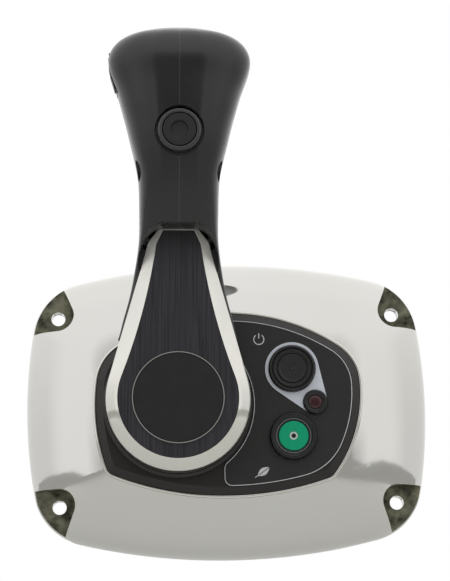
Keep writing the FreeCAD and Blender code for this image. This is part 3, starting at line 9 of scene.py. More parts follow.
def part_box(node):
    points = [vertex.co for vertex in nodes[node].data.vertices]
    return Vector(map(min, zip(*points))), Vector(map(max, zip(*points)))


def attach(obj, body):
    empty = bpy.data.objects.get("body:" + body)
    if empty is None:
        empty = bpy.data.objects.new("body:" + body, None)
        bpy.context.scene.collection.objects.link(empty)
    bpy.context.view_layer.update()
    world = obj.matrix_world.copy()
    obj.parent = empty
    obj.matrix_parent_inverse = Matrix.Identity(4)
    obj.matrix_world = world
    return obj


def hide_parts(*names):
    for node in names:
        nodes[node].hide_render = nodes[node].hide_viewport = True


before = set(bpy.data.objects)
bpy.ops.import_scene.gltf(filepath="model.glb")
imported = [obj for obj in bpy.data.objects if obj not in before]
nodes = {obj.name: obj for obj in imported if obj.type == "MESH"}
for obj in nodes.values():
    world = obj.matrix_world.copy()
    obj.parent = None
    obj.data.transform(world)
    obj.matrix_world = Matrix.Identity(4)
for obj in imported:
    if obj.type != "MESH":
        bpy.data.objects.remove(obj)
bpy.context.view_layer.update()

# A side-mount boat throttle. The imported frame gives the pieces, this script gives their finish,
# the small detail and the studio. Everything is in metres, +Z up, with the front facing -Y.

millimetre = 0.001

# where things stand on the cover, in millimetres as on the part's drawing
layout = {
    "hub": (-25.0, 0.0),
    "leverLean": 0.95,
    "holeSpacing": (168.0, 95.0),
    "pocketRadius": 8.0,
    "pocketLean": 68.0,
    "pocketFloor": 8.0,
}


def shade(hexText, alpha=1.0):
    # a colour as written on screen, turned to the linear values that a shader takes
    channels = [int(hexText[i:i + 2], 16) / 255 for i in (1, 3, 5)]
    linear = [c / 12.92 if c <= 0.04045 else ((c + 0.055) / 1.055) ** 2.4 for c in channels]
    return (*linear, alpha)


def addNode(tree, kind, settings=None, inputs=None):
    # one node with its settings; an input is a value, or a socket that gets linked
    node = tree.nodes.new(kind)
    for name, value in (settings or {}).items():
        setattr(node, name, value)
    for name, value in (inputs or {}).items():
        if isinstance(value, bpy.types.NodeSocket):
            tree.links.new(value, node.inputs[name])
        else:
            node.inputs[name].default_value = value
    return node


def startMaterial(name, base):
    # base holds the shader's own even values, which stay on its sockets
    material = bpy.data.materials.new(name)
    material.use_nodes = True
    tree = material.node_tree
    tree.nodes.clear()
    shader = addNode(tree, "ShaderNodeBsdfPrincipled", None, base)
    output = addNode(tree, "ShaderNodeOutputMaterial", None, {"Surface": shader.outputs[0]})
    output.location = (300, 0)
    place = addNode(tree, "ShaderNodeTexCoord")
    return material, tree, shader, place.outputs["Object"]


def mottle(tree, place, patternMm, stretch=(1, 1, 1), detail=3.0):
    # an even noise whose patches are patternMm across, drawn out along an axis by stretch
    scaled = addNode(tree, "ShaderNodeMapping", None, {"Vector": place, "Scale": stretch})
    return addNode(tree, "ShaderNodeTexNoise", None, {
        "Vector": scaled.outputs[0], "Scale": 1000 / patternMm, "Detail": detail}).outputs["Fac"]


def between(tree, factor, low, high):
    return addNode(tree, "ShaderNodeMapRange", None, {
        "Value": factor, "From Min": 0.3, "From Max": 0.7, "To Min": low, "To Max": high}).outputs[0]


def blendColours(tree, factor, first, second):
    return addNode(tree, "ShaderNodeMix", {"data_type": "RGBA"}, {0: factor, 6: first, 7: second}).outputs[2]


def relief(tree, shader, height, depthMm):
    bump = addNode(tree, "ShaderNodeBump", None, {"Height": height, "Distance": depthMm * millimetre})
    tree.links.new(bump.outputs[0], shader.inputs["Normal"])
    return bump


def linked(name, data):
    # a new object in the scene, at the origin
    thing = bpy.data.objects.new(name, data)
    bpy.context.scene.collection.objects.link(thing)
    return thing


def skin(shape, rows):
    # faces between neighbouring rows of points; a row that is one point ends in triangles
    for first, second in zip(rows, rows[1:]):
        for step in range(len(first)):
            after = (step + 1) % len(first)
            corners = (first[step], first[after], second[after], second[step])
            shape.faces.new(list(dict.fromkeys(corners)))


# Plain finishes: two close colours that drift into each other, a range of roughness and a fine relief.
finishes = {
    # moulded ABS with a fine spark texture: a soft, wide sheen, faintly brown
    "mouldedAbs": {"colours": ("#201e1c", "#191716"), "roughness": (0.36, 0.48), "patternMm": 14,
                   "grainMm": 0.8, "reliefMm": 0.02, "sockets": {"IOR": 1.5, "Specular IOR Level": 0.35}},
    # glass-filled nylon: smooth, a little glossier
    "mouldedNylon": {"colours": ("#141414", "#0f0f10"), "roughness": (0.24, 0.34), "patternMm": 9,
                     "grainMm": 0.7, "reliefMm": 0.008, "sockets": {"IOR": 1.53, "Specular IOR Level": 0.4}},
    # neoprene sheet, cut: dull and even
    "neoprene": {"colours": ("#1b1b1b", "#121212"), "roughness": (0.7, 0.85), "patternMm": 6,
                 "grainMm": 0.6, "reliefMm": 0.03, "sockets": {"IOR": 1.5}},
    # silicone rubber, moulded: soft and slightly dusty
    "siliconeRubber": {"colours": ("#1d1d1e", "#161617"), "roughness": (0.4, 0.5), "patternMm": 5,
                       "grainMm": 0.5, "reliefMm": 0.012, "sockets": {"IOR": 1.45, "Specular IOR Level": 0.4}},
    # silver paint under clear lacquer
    "silverPaint": {"colours": ("#c6cad1", "#b9bec7"), "roughness": (0.34, 0.42), "patternMm": 3,
                    "grainMm": 0.4, "reliefMm": 0.004, "sockets": {"Metallic": 0.3}},
    # green acetal, moulded: bright and even, slightly translucent at the skin
    "greenAcetal": {"colours": ("#009269", "#008a62"), "roughness": (0.3, 0.38), "patternMm": 5,
                    "grainMm": 0.5, "reliefMm": 0.006, "sockets": {"IOR": 1.48, "Specular IOR Level": 0.25}},
    # clear polycarbonate light guide over a grey sensor: pale and even
    "greyLightGuide": {"colours": ("#b7c2bd", "#a3b0aa"), "roughness": (0.2, 0.3), "patternMm": 2,
                       "grainMm": 0.4, "reliefMm": 0.004, "sockets": {"IOR": 1.58}},
    # white pad-printing ink, thin and matt, for the printed signs; the same finish paints the highlight round the
    # panel's edge
    "paleInk": {"colours": ("#b9b9bb", "#acacaf"), "roughness": (0.5, 0.6), "patternMm": 2,
                "grainMm": 0.3, "reliefMm": 0.003, "sockets": {"IOR": 1.5}},
    # the ring round the thumb button: the grip's plastic, left glossier and greyer by its own mould
    "collarPlastic": {"colours": ("#2c2c2d", "#262627"), "roughness": (0.26, 0.32), "patternMm": 6,
                      "grainMm": 0.5, "reliefMm": 0.005, "sockets": {"IOR": 1.5}},
    # dark nickel ring: grey and smooth
    "greyRing": {"colours": ("#8d8f92", "#7c7e80"), "roughness": (0.25, 0.35), "patternMm": 2,
                 "grainMm": 0.3, "reliefMm": 0.003, "sockets": {"Metallic": 1.0}},
    # zinc-plated steel: pale, faintly blue, with a patchy gloss
    "zincPlate": {"colours": ("#b9bdc2", "#a5a8ab"), "roughness": (0.24, 0.4), "patternMm": 2,
                  "grainMm": 0.4, "reliefMm": 0.006, "sockets": {"Metallic": 1.0}},
    # black-oxide steel: dark, oily and even
    "blackOxide": {"colours": ("#38383a", "#2a2a2c"), "roughness": (0.3, 0.4), "patternMm": 2,
                   "grainMm": 0.4, "reliefMm": 0.006, "sockets": {"Metallic": 1.0}},
    # turned and ground steel
    "groundSteel": {"colours": ("#a9a8a6", "#8f8e8c"), "roughness": (0.2, 0.34), "patternMm": 3,
                    "grainMm": 0.3, "reliefMm": 0.004, "sockets": {"Metallic": 1.0}},
    # gold-flashed brass contact pins
    "goldFlash": {"colours": ("#d9b25c", "#c49c48"), "roughness": (0.18, 0.26), "patternMm": 1,
                  "grainMm": 0.3, "reliefMm": 0.003, "sockets": {"Metallic": 1.0}},
    # epoxy powder coat: black with a light orange peel
    "powderCoat": {"colours": ("#2b2b2a", "#222221"), "roughness": (0.4, 0.5), "patternMm": 8,
                   "grainMm": 1.4, "reliefMm": 0.03, "sockets": {"IOR": 1.52}},
    # sintered bronze, oily and open-grained
    "sinteredBronze": {"colours": ("#9c7443", "#7d5a31"), "roughness": (0.35, 0.5), "patternMm": 1.5,
                       "grainMm": 0.5, "reliefMm": 0.02, "sockets": {"Metallic": 1.0}},
    # pressed friction lining with fibres
    "frictionLining": {"colours": ("#4a423b", "#2f2a26"), "roughness": (0.75, 0.9), "patternMm": 0.9,
                       "grainMm": 0.5, "reliefMm": 0.05, "sockets": {}},
    # moulded housing, coarser texture than the fascia
    "texturedHousing": {"colours": ("#242425", "#1b1b1c"), "roughness": (0.5, 0.62), "patternMm": 12,
                        "grainMm": 1.1, "reliefMm": 0.05, "sockets": {"IOR": 1.5}},
    # circuit board lacquer over copper tracks
    "boardLacquer": {"colours": ("#12603a", "#0c4d2d"), "roughness": (0.3, 0.4), "patternMm": 3,
                     "grainMm": 0.8, "reliefMm": 0.01, "sockets": {"IOR": 1.52}},
    # chip epoxy
    "chipEpoxy": {"colours": ("#191919", "#131313"), "roughness": (0.5, 0.6), "patternMm": 1,
                  "grainMm": 0.3, "reliefMm": 0.01, "sockets": {}},
    # nickel-plated magnet
    "nickelPlate": {"colours": ("#c9c3b4", "#b8b2a4"), "roughness": (0.15, 0.22), "patternMm": 2,
                    "grainMm": 0.3, "reliefMm": 0.003, "sockets": {"Metallic": 1.0}},
    # black anodised aluminium, bead-blasted and fine: the hub cap
    "blackAnodised": {"colours": ("#161517", "#121113"), "roughness": (0.32, 0.4), "patternMm": 6,
                      "grainMm": 0.4, "reliefMm": 0.004, "sockets": {"IOR": 1.5, "Specular IOR Level": 0.4}},
}
materials = {}
for name, finish in finishes.items():
    material, tree, shader, place = startMaterial(name, finish["sockets"])
    drift = mottle(tree, place, finish["patternMm"])
    grain = mottle(tree, place, finish["grainMm"], detail=1.0)
    first, second = finish["colours"]
    tree.links.new(blendColours(tree, drift, shade(first), shade(second)), shader.inputs["Base Color"])
    tree.links.new(between(tree, drift, *finish["roughness"]), shader.inputs["Roughness"])
    relief(tree, shader, grain, finish["reliefMm"])
    materials[name] = material
print("plain finishes:", len(materials))

# Stainless steel, pressed and mirror polished: it shows the room with a faint haze of buffing.
# The four corner pockets can't be reached by the buff, so they stay dull; their darker, mottled colour is painted
# shade in the recesses.
coverFinish = {"steel": "#cac9c7", "steelWarm": "#c5c4be", "pocket": "#8a8975", "pocketDeepShade": "#35352f",
               "roughness": 0.05, "pocketRoughness": 0.42, "buffMm": 60.0}


def pocketMask(tree, place):
    # 1 inside the pockets' outline, worked out in one corner by folding the other three onto it
    parts = addNode(tree, "ShaderNodeSeparateXYZ", None, {"Vector": place})

    def calculate(operation, first, second=0.0):
        return addNode(tree, "ShaderNodeMath", {"operation": operation}, {0: first, 1: second}).outputs[0]

    halfX = layout["holeSpacing"][0] / 2 * millimetre
    halfZ = layout["holeSpacing"][1] / 2 * millimetre
    lean = math.radians(layout["pocketLean"])
    reach = (layout["pocketRadius"] + 0.15) * millimetre
    across = calculate("SUBTRACT", calculate("ABSOLUTE", parts.outputs[0]), halfX)
    up = calculate("SUBTRACT", calculate("ABSOLUTE", parts.outputs[2]), halfZ)
    below = calculate("MULTIPLY", up, -1.0)
    inward = calculate("SUBTRACT", calculate("MULTIPLY", up, math.cos(lean)),
                       calculate("MULTIPLY", across, math.sin(lean)))
    side = calculate("MAXIMUM", below, inward)
    along = calculate("ADD", calculate("MULTIPLY", across, math.cos(lean)),
                      calculate("MULTIPLY", up, math.sin(lean)))
    behind = calculate("LESS_THAN", calculate("MAXIMUM", across, along), 0.0)
    far = calculate("SQRT", calculate("ADD", calculate("MULTIPLY", across, across),
                                      calculate("MULTIPLY", up, up)))
    distance = calculate("MAXIMUM", side, calculate("MULTIPLY", far, behind))
    inside = calculate("LESS_THAN", distance, reach)
    front = calculate("LESS_THAN", parts.outputs[1], -(layout["pocketFloor"] - 0.2) * millimetre)
    return calculate("MULTIPLY", inside, front)


def makeCoverSteel():
    material, tree, shader, place = startMaterial("mirrorPolishedStainless", {"Metallic": 1.0})
    haze = mottle(tree, place, coverFinish["buffMm"])
    shadeMottle = mottle(tree, place, 5.0, detail=5.0)
    pocket = pocketMask(tree, place)
    # in the pockets the colour is painted shade: darker steel, mottled darker still; only their dullness is the real
    # finish
    steel = blendColours(tree, haze, shade(coverFinish["steel"]), shade(coverFinish["steelWarm"]))
    dark = blendColours(tree, between(tree, shadeMottle, 0.0, 1.0), shade(coverFinish["pocket"]),
                        shade(coverFinish["pocketDeepShade"]))
    tree.links.new(blendColours(tree, pocket, steel, dark), shader.inputs["Base Color"])
    rough = addNode(tree, "ShaderNodeMapRange", None, {
        "Value": pocket, "To Min": coverFinish["roughness"], "To Max": coverFinish["pocketRoughness"]})
    tree.links.new(rough.outputs[0], shader.inputs["Roughness"])
    relief(tree, shader, mottle(tree, place, 0.9, detail=2.0), 0.0006)
    return material


# Zinc casting, polished and chrome plated: brighter than the cover, with soft waves from the buff.
chromeFinish = {"chrome": "#d2d1cd", "chromeWarm": "#cac8bf", "waveMm": 22.0, "waveDepthMm": 0.02,
                "satinFromTo": (30.0, 62.0), "satinRoughness": (0.12, 0.36),
                "paintedReflectionFromTo": (56.0, 72.0), "paintedReflectionMetal": (1.0, 0.1)}


def onLever(tree, place):
    # the lever's own axes: x across it, z along it, measured from its shaft
    hubX, hubZ = (value * millimetre for value in layout["hub"])
    lean = math.radians(layout["leverLean"])
    return addNode(tree, "ShaderNodeMapping", {"vector_type": "TEXTURE"}, {
        "Vector": place, "Location": (hubX, 0, hubZ), "Rotation": (0, lean, 0)}).outputs[0]


def buffedChrome(tree, shader, place):
    wave = mottle(tree, place, chromeFinish["waveMm"])
    colour = blendColours(tree, wave, shade(chromeFinish["chrome"]), shade(chromeFinish["chromeWarm"]))
    tree.links.new(colour, shader.inputs["Base Color"])
    relief(tree, shader, wave, chromeFinish["waveDepthMm"])


def makeChrome():
    material, tree, shader, place = startMaterial("polishedChrome", {"Metallic": 1.0, "Roughness": 0.1})
    buffedChrome(tree, shader, place)
    return material


def makeRimChrome():
    # The same chrome on the arm's bevelled rim. Up the arm it turns satin and then matt and pale, so that under the
    # grip's arch it scatters the light instead of mirroring the dark grip: the pale matt part is a painted
    # reflection standing in for the chrome's bright band there.
    material, tree, shader, place = startMaterial("chromeRimWithPaintedReflection", {"Metallic": 1.0})
    height = addNode(tree, "ShaderNodeSeparateXYZ", None, {"Vector": onLever(tree, place)}).outputs[2]
    buffedChrome(tree, shader, place)
    # the second span takes the metal down to a pale matt grey, a painted reflection
    for socket, span, values in (("Roughness", "satinFromTo", "satinRoughness"),
                                 ("Metallic", "paintedReflectionFromTo", "paintedReflectionMetal")):
        low, high = (value * millimetre for value in chromeFinish[span])
        first, last = chromeFinish[values]
        change = addNode(tree, "ShaderNodeMapRange", None, {
            "Value": height, "From Min": low, "From Max": high, "To Min": first, "To Max": last})
        tree.links.new(change.outputs[0], shader.inputs[socket])
    return material


# Aluminium plate, brushed along the arm and anodised black. The real lines are 0.1 mm apart, too fine
# to show, so they are drawn 0.7 mm wide and 40 mm long.
inlayFinish = {"dark": "#18171a", "light": "#2f2d32", "lineMm": 0.7, "lineLengthMm": 40.0}


def makeBrushedInlay():
    material, tree, shader, place = startMaterial("brushedBlackAnodised", {
        "Metallic": 0.15, "IOR": 1.5, "Specular IOR Level": 0.4})
    local = onLever(tree, place)
    squeeze = inlayFinish["lineMm"] / inlayFinish["lineLengthMm"]
    lines = mottle(tree, local, inlayFinish["lineMm"], stretch=(1, 1, squeeze), detail=4.0)
    colour = blendColours(tree, between(tree, lines, 0.0, 1.0), shade(inlayFinish["dark"]),
                          shade(inlayFinish["light"]))
    tree.links.new(colour, shader.inputs["Base Color"])
    tree.links.new(between(tree, lines, 0.32, 0.44), shader.inputs["Roughness"])
    relief(tree, shader, lines, 0.008)
    return material


# Moulded grip with a soft-touch coat: dark face on, with a pale bloom where it turns away.
# The halves meet in a fine pale parting line.
gripFinish = {"body": "#111112", "bodyWorn": "#161617", "seam": "#343436", "seamMm": 0.14, "driftMm": 18.0,
              "grainMm": 0.7, "reliefMm": 0.006, "roughness": (0.24, 0.31)}


def makeGripPlastic():
    material, tree, shader, place = startMaterial("satinMouldedGrip", {
        "IOR": 1.52, "Specular IOR Level": 0.45, "Sheen Weight": 0.3, "Sheen Roughness": 0.2})
    local = onLever(tree, place)
    drift = mottle(tree, place, gripFinish["driftMm"])
    grain = mottle(tree, place, gripFinish["grainMm"], detail=1.0)
    body = blendColours(tree, drift, shade(gripFinish["body"]), shade(gripFinish["bodyWorn"]))
    parts = addNode(tree, "ShaderNodeSeparateXYZ", None, {"Vector": local})
    beside = addNode(tree, "ShaderNodeMath", {"operation": "ABSOLUTE"}, {0: parts.outputs[0]})
    seam = addNode(tree, "ShaderNodeMath", {"operation": "LESS_THAN"}, {
        0: beside.outputs[0], 1: gripFinish["seamMm"] * millimetre})
    tree.links.new(blendColours(tree, seam.outputs[0], body, shade(gripFinish["seam"])),
                   shader.inputs["Base Color"])
    tree.links.new(between(tree, drift, *gripFinish["roughness"]), shader.inputs["Roughness"])
    relief(tree, shader, grain, gripFinish["reliefMm"])
    return material


# Polycarbonate film with a fine printed texture over the fascia.
panelFinish = {"dark": "#131313", "light": "#1b1a1a", "speckMm": 0.8, "reliefMm": 0.03, "roughness": (0.4, 0.55)}


def makePanelFilm():
    material, tree, shader, place = startMaterial("texturedPanelFilm", {
        "IOR": 1.5, "Specular IOR Level": 0.4})
    speck = mottle(tree, place, panelFinish["speckMm"], detail=2.0)
    colour = blendColours(tree, between(tree, speck, 0.0, 1.0), shade(panelFinish["dark"]),
                          shade(panelFinish["light"]))
    tree.links.new(colour, shader.inputs["Base Color"])
    tree.links.new(between(tree, speck, *panelFinish["roughness"]), shader.inputs["Roughness"])
    relief(tree, shader, speck, panelFinish["reliefMm"])
    return material


# Red acrylic lens, unlit: light goes in and little comes out.
lensFinish = {"light": "#400a15", "dark": "#2a070d", "patternMm": 2.0, "roughness": (0.14, 0.22)}


def makeLens():
    material, tree, shader, place = startMaterial("redAcrylicLens", {
        "IOR": 1.49, "Transmission Weight": 0.2, "Coat Weight": 0.05})
    depth = mottle(tree, place, lensFinish["patternMm"])
    colour = blendColours(tree, depth, shade(lensFinish["light"]), shade(lensFinish["dark"]))
    tree.links.new(colour, shader.inputs["Base Color"])
    tree.links.new(between(tree, depth, *lensFinish["roughness"]), shader.inputs["Roughness"])
    return material


materials["mirrorPolishedStainless"] = makeCoverSteel()
materials["polishedChrome"] = makeChrome()
materials["chromeRimWithPaintedReflection"] = makeRimChrome()
materials["brushedBlackAnodised"] = makeBrushedInlay()
materials["satinMouldedGrip"] = makeGripPlastic()
materials["texturedPanelFilm"] = makePanelFilm()
materials["redAcrylicLens"] = makeLens()

pieceFinish = {
    "mirrorPolishedStainless": ["cover_plate"],
    "polishedChrome": ["lever_arm", "cap_ring"],
    "brushedBlackAnodised": ["arm_inlay"],
    "blackAnodised": ["hub_cap"],
    "satinMouldedGrip": ["grip_left", "grip_right"],
    "texturedPanelFilm": ["fascia_panel"],
    "redAcrylicLens": ["lamp_lens"],
    "neoprene": ["plate_gasket"],
    "mouldedAbs": ["fascia_bezel", "hub_collar"],
    "mouldedNylon": ["start_bezel", "eco_bezel", "lamp_bezel", "grip_collar", "rocker_frame", "start_switch",
                     "eco_switch", "lamp_barrel", "grip_switch", "rocker_switch", "magnet_holder"],
    "siliconeRubber": ["start_button", "grip_button", "side_rocker"],
    "silverPaint": ["button_trim"],
    "greenAcetal": ["eco_button"],
    "zincPlate": ["switch_nuts", "detent_screw", "frame_screws", "housing_screws", "rear_cover_screws",
                  "board_screws", "hub_bolt", "hub_washer", "board_standoffs"],
    "blackOxide": ["grip_screws", "grip_nuts"],
    "groundSteel": ["lever_shaft", "shaft_key", "disc_key", "detent_disc", "brake_disc", "disc_spacer",
                    "rear_spacer", "detent_spring", "shaft_circlip", "brake_adjuster"],
    "powderCoat": ["frame_plate"],
    "sinteredBronze": ["front_bush", "rear_bush", "thrust_washer"],
    "frictionLining": ["brake_pad"],
    "texturedHousing": ["rear_housing", "rear_cover", "connector_socket"],
    "boardLacquer": ["circuit_board"],
    "chipEpoxy": ["sensor_chip"],
    "nickelPlate": ["sensor_magnet"],
}
for finishName, names in pieceFinish.items():
    for name in names:
        mesh = nodes[name].data
        mesh.materials.clear()
        mesh.materials.append(materials[finishName])
unfinished = sorted(set(nodes) - {name for names in pieceFinish.values() for name in names})
print("nodes finished:", len(nodes) - len(unfinished), "left:", unfinished)


def handIn(name, mesh, body, stands):
    # a finished piece: its mesh stands in place, its object stays at the origin
    piece = linked(name, mesh)
    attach(piece, body)
    if stands:
        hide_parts(*stands)


def smoothed(name, shape, sharpFrom, turn=None):
    # the shape as a mesh, faces outward, smooth but for the edges sharper than an angle in degrees
    mesh = bpy.data.meshes.new(name)
    bmesh.ops.recalc_face_normals(shape, faces=shape.faces)
    for face in shape.faces:
        face.smooth = True
    if turn:
        bmesh.ops.transform(shape, matrix=turn, verts=shape.verts)
    shape.to_mesh(mesh)
    shape.free()
    mesh.set_sharp_from_angle(angle=math.radians(sharpFrom))
    return mesh


def addPiece(name, shape, finishName, body, stands=()):
    mesh = smoothed(name, shape, 50)
    mesh.materials.append(materials[finishName])
    handIn(name, mesh, body, stands)


def filleted(section, size):
    # each corner of a section gets a small round between two supports, so that its edge catches the light
    points = [Vector(point) for point in section]
    rounded = []
    for number, corner in enumerate(points):
        if corner.x == 0:
            rounded.append(corner)
            continue
        for side, share in ((points[number - 1], (0.45, 0.35)), (points[(number + 1) % len(points)], (0.35, 0.45))):
            length = (side - corner).length
            ray = (side - corner) / length
            reaches = [min(size * part / 0.35, length * part) for part in share]
            steps = [corner + ray * reach for reach in reaches]
            if share[0] < share[1]:
                rounded.append((rounded[-1] + 2 * corner + steps[0]) / 4)
            rounded += steps
    return rounded


def turnedShape(centre, section, steps=80):
    # a section of (radius, depth) turned round the axis through centre, square to the wall
    shape = bmesh.new()
    x, z = centre
    turns = [math.tau * step / steps for step in range(steps)]
    rows = []
    for radius, depth in section:
        if radius == 0:
            rows.append([shape.verts.new((x * millimetre, -depth * millimetre, z * millimetre))] * steps)
        else:
            rows.append([shape.verts.new(((x + radius * math.cos(turn)) * millimetre, -depth * millimetre,
                                          (z + radius * math.sin(turn)) * millimetre)) for turn in turns])
    if section[0][0] > 0:
        rows.append(rows[0])
    skin(shape, rows)
    return shape


def middleOf(node):
    # the middle of a node as (x, z), and how deep its back and its front lie, in millimetres
    low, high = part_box(node)
    centre = ((low[0] + high[0]) / 2 / millimetre, (low[2] + high[2]) / 2 / millimetre)
    return centre, -high[1] / millimetre, -low[1] / millimetre


# The switches, turned. Sections are (radius, distance in front of the node's back), with the back first.
turnedPieces = {
    "start_ring": {"stands": "start_bezel", "body": "base", "slot": "switch_black", "finish": "mouldedNylon",
                   "fillet": 0.25,
                   "section": [(7.5, 0), (11.7, 0), (11.7, 1.9), (11.0, 3.4), (10.3, 3.4), (10.0, 2.4),
                               (9.6, 2.4), (9.3, 3.1), (8.4, 3.1), (8.0, 2.5), (7.5, 2.5)]},
    "start_cap_turned": {"stands": "start_button", "body": "start_cap", "slot": "switch_black",
                         "finish": "siliconeRubber", "fillet": 0.18,
                         "section": [(0, 0), (7.3, 0), (7.3, 2.6), (6.9, 3.0), (6.2, 3.0), (5.9, 2.75), (2.3, 2.75),
                                     (2.0, 2.45), (1.6, 2.45), (1.2, 2.9), (0.6, 2.75), (0, 2.7)]},
    "eco_ring": {"stands": "eco_bezel", "body": "base", "slot": "switch_black", "finish": "mouldedNylon",
                 "fillet": 0.25,
                 "section": [(7.5, 0), (11.7, 0), (11.7, 1.9), (11.0, 3.4), (9.7, 3.4), (8.9, 2.5), (7.5, 2.5)]},
    "eco_edge": {"body": "base", "slot": "trim_silver", "finish": "greyRing", "fillet": 0.1, "over": "eco_bezel",
                 "section": [(8.25, 2.3), (8.5, 2.3), (8.5, 2.75), (8.25, 2.75)]},
    "eco_cap_turned": {"stands": "eco_button", "body": "eco_cap", "slot": "button_green", "finish": "greenAcetal",
                       "fillet": 0.2,
                       "section": [(0, 0), (7.3, 0), (7.3, 2.65), (6.95, 3.0), (2.2, 3.0), (2.1, 2.6), (0, 2.6)]},
    "eco_light": {"body": "eco_cap", "slot": "button_green", "finish": "greyLightGuide", "fillet": 0.1,
                  "over": "eco_button", "section": [(0, 2.5), (2.0, 2.5), (2.0, 2.9), (1.1, 2.8), (0, 2.8)]},
    "eco_sensor": {"body": "eco_cap", "slot": "switch_black", "finish": "mouldedNylon", "fillet": 0.08,
                   "over": "eco_button", "section": [(0, 2.7), (1.15, 2.7), (1.15, 2.9), (0, 2.95)]},
    "lamp_ring": {"stands": "lamp_bezel", "body": "base", "slot": "switch_black", "finish": "mouldedNylon",
                  "fillet": 0.2,
                  "section": [(3.5, 0), (6.1, 0), (6.1, 1.5), (5.4, 2.4), (4.7, 2.4), (4.0, 1.7), (3.5, 1.7)]},
    "lamp_dome": {"stands": "lamp_lens", "body": "base", "slot": "lens_red", "finish": "redAcrylicLens",
                  "fillet": 0.2,
                  "section": [(0, 0), (3.4, 0), (3.4, 1.5), (2.9, 1.85), (2.0, 2.02), (1.0, 2.09), (0, 2.11)]},
    "thumb_ring": {"stands": "grip_collar", "body": "lever", "slot": "grip_black", "finish": "collarPlastic",
                   "fillet": 0.3,
                   "section": [(8.3, 0), (12.0, 0), (12.0, 2.0), (10.6, 2.0), (10.6, 6.6), (10.2, 7.6),
                               (9.6, 8.0), (8.8, 8.0), (8.4, 7.6), (8.3, 7.0)]},
    "thumb_cap_turned": {"stands": "grip_button", "body": "thumb_cap", "slot": "rubber_black",
                         "finish": "siliconeRubber", "fillet": 0.25,
                         "section": [(0, 0.15), (8.15, 0.15), (8.15, 5.5), (7.7, 5.95), (4.4, 5.95), (3.8, 4.7),
                                     (0, 4.4)]},
}
for name, spec in turnedPieces.items():
    centre, back, front = middleOf(spec.get("stands") or spec["over"])
    section = [(radius, back + depth) for radius, depth in filleted(spec["section"], spec["fillet"])]
    shape = turnedShape(centre, section)
    addPiece(name, shape, spec["finish"], spec["body"], [spec["stands"]] if "stands" in spec else [])
print("turned pieces:", len(turnedPieces))


# Geometry Nodes: a round line along a path, and a shape set out at points.
def startTree(name, inputs):
    tree = bpy.data.node_groups.new(name, "GeometryNodeTree")
    tree.interface.new_socket("Geometry", in_out="INPUT", socket_type="NodeSocketGeometry")
    for label, kind in inputs.items():
        tree.interface.new_socket(label, in_out="INPUT", socket_type="NodeSocket" + kind)
    tree.interface.new_socket("Geometry", in_out="OUTPUT", socket_type="NodeSocketGeometry")
    return tree, addNode(tree, "NodeGroupInput")


def endTree(tree, geometry, material):
    whole = addNode(tree, "GeometryNodeRealizeInstances", None, {"Geometry": geometry})
    finished = addNode(tree, "GeometryNodeSetMaterial", None, {"Geometry": whole.outputs[0], "Material": material})
    addNode(tree, "NodeGroupOutput", None, {"Geometry": finished.outputs[0]})
    return tree


def makeLineTree():
    tree, given = startTree("roundLine", {"Radius": "Float", "Material": "Material"})
    path = addNode(tree, "GeometryNodeMeshToCurve", None, {"Mesh": given.outputs["Geometry"]})
    ring = addNode(tree, "GeometryNodeCurvePrimitiveCircle", None, {
        "Resolution": 8, "Radius": given.outputs["Radius"]})
    line = addNode(tree, "GeometryNodeCurveToMesh", None, {
        "Curve": path.outputs[0], "Profile Curve": ring.outputs[0], "Fill Caps": True})
    smooth = addNode(tree, "GeometryNodeSetShadeSmooth", None, {"Geometry": line.outputs[0]})
    return endTree(tree, smooth.outputs[0], given.outputs["Material"])


def makeSetOutTree():
    tree, given = startTree("setOut", {"Piece": "Object", "Material": "Material"})
    piece = addNode(tree, "GeometryNodeObjectInfo", {"transform_space": "ORIGINAL"}, {
        "Object": given.outputs["Piece"]})
    placed = addNode(tree, "GeometryNodeInstanceOnPoints", None, {
        "Points": given.outputs["Geometry"], "Instance": piece.outputs["Geometry"]})
    return endTree(tree, placed.outputs[0], given.outputs["Material"])


def grown(name, mesh, tree, values, body, stands=()):
    # runs a tree on a mesh and keeps what comes out as a plain mesh
    source = linked(name + "_source", mesh)
    modifier = source.modifiers.new("shape", "NODES")
    modifier.node_group = tree
    for item in tree.interface.items_tree:
        if item.in_out == "INPUT" and item.name in values:
            modifier[item.identifier] = values[item.name]
    depsgraph = bpy.context.evaluated_depsgraph_get()
    result = bpy.data.meshes.new_from_object(source.evaluated_get(depsgraph))
    source.modifiers.remove(modifier)
    bpy.data.objects.remove(source)
    result.name = name
    handIn(name, result, body, stands)


lineTree = makeLineTree()
setOutTree = makeSetOutTree()

# a pale line all round the panel, a painted highlight where the film's edge catches the light
panelEdgeHighlight = {"radiusMm": 0.2, "finish": "paleInk"}


def outlineLoops(shape):
    # The boundary of a patch of faces, as loops of points in order. The edges are taken in the mesh's
    # own order, so that each loop starts at the same point in every run.
    free = dict.fromkeys(edge for edge in shape.edges if len(edge.link_faces) == 1)
    loops = []
    while free:
        edge = next(iter(free))
        del free[edge]
        start, vert = edge.verts
        loop = [start.co.copy(), vert.co.copy()]
        while True:
            nextEdge = next((item for item in vert.link_edges if item in free), None)
            if nextEdge is None:
                break
            del free[nextEdge]
            vert = nextEdge.other_vert(vert)
            if vert is start:
                break
            loop.append(vert.co.copy())
        loops.append(loop)
    return loops


def lineLength(loop):
    return sum((after - point).length for point, after in zip(loop, loop[1:] + loop[:1]))


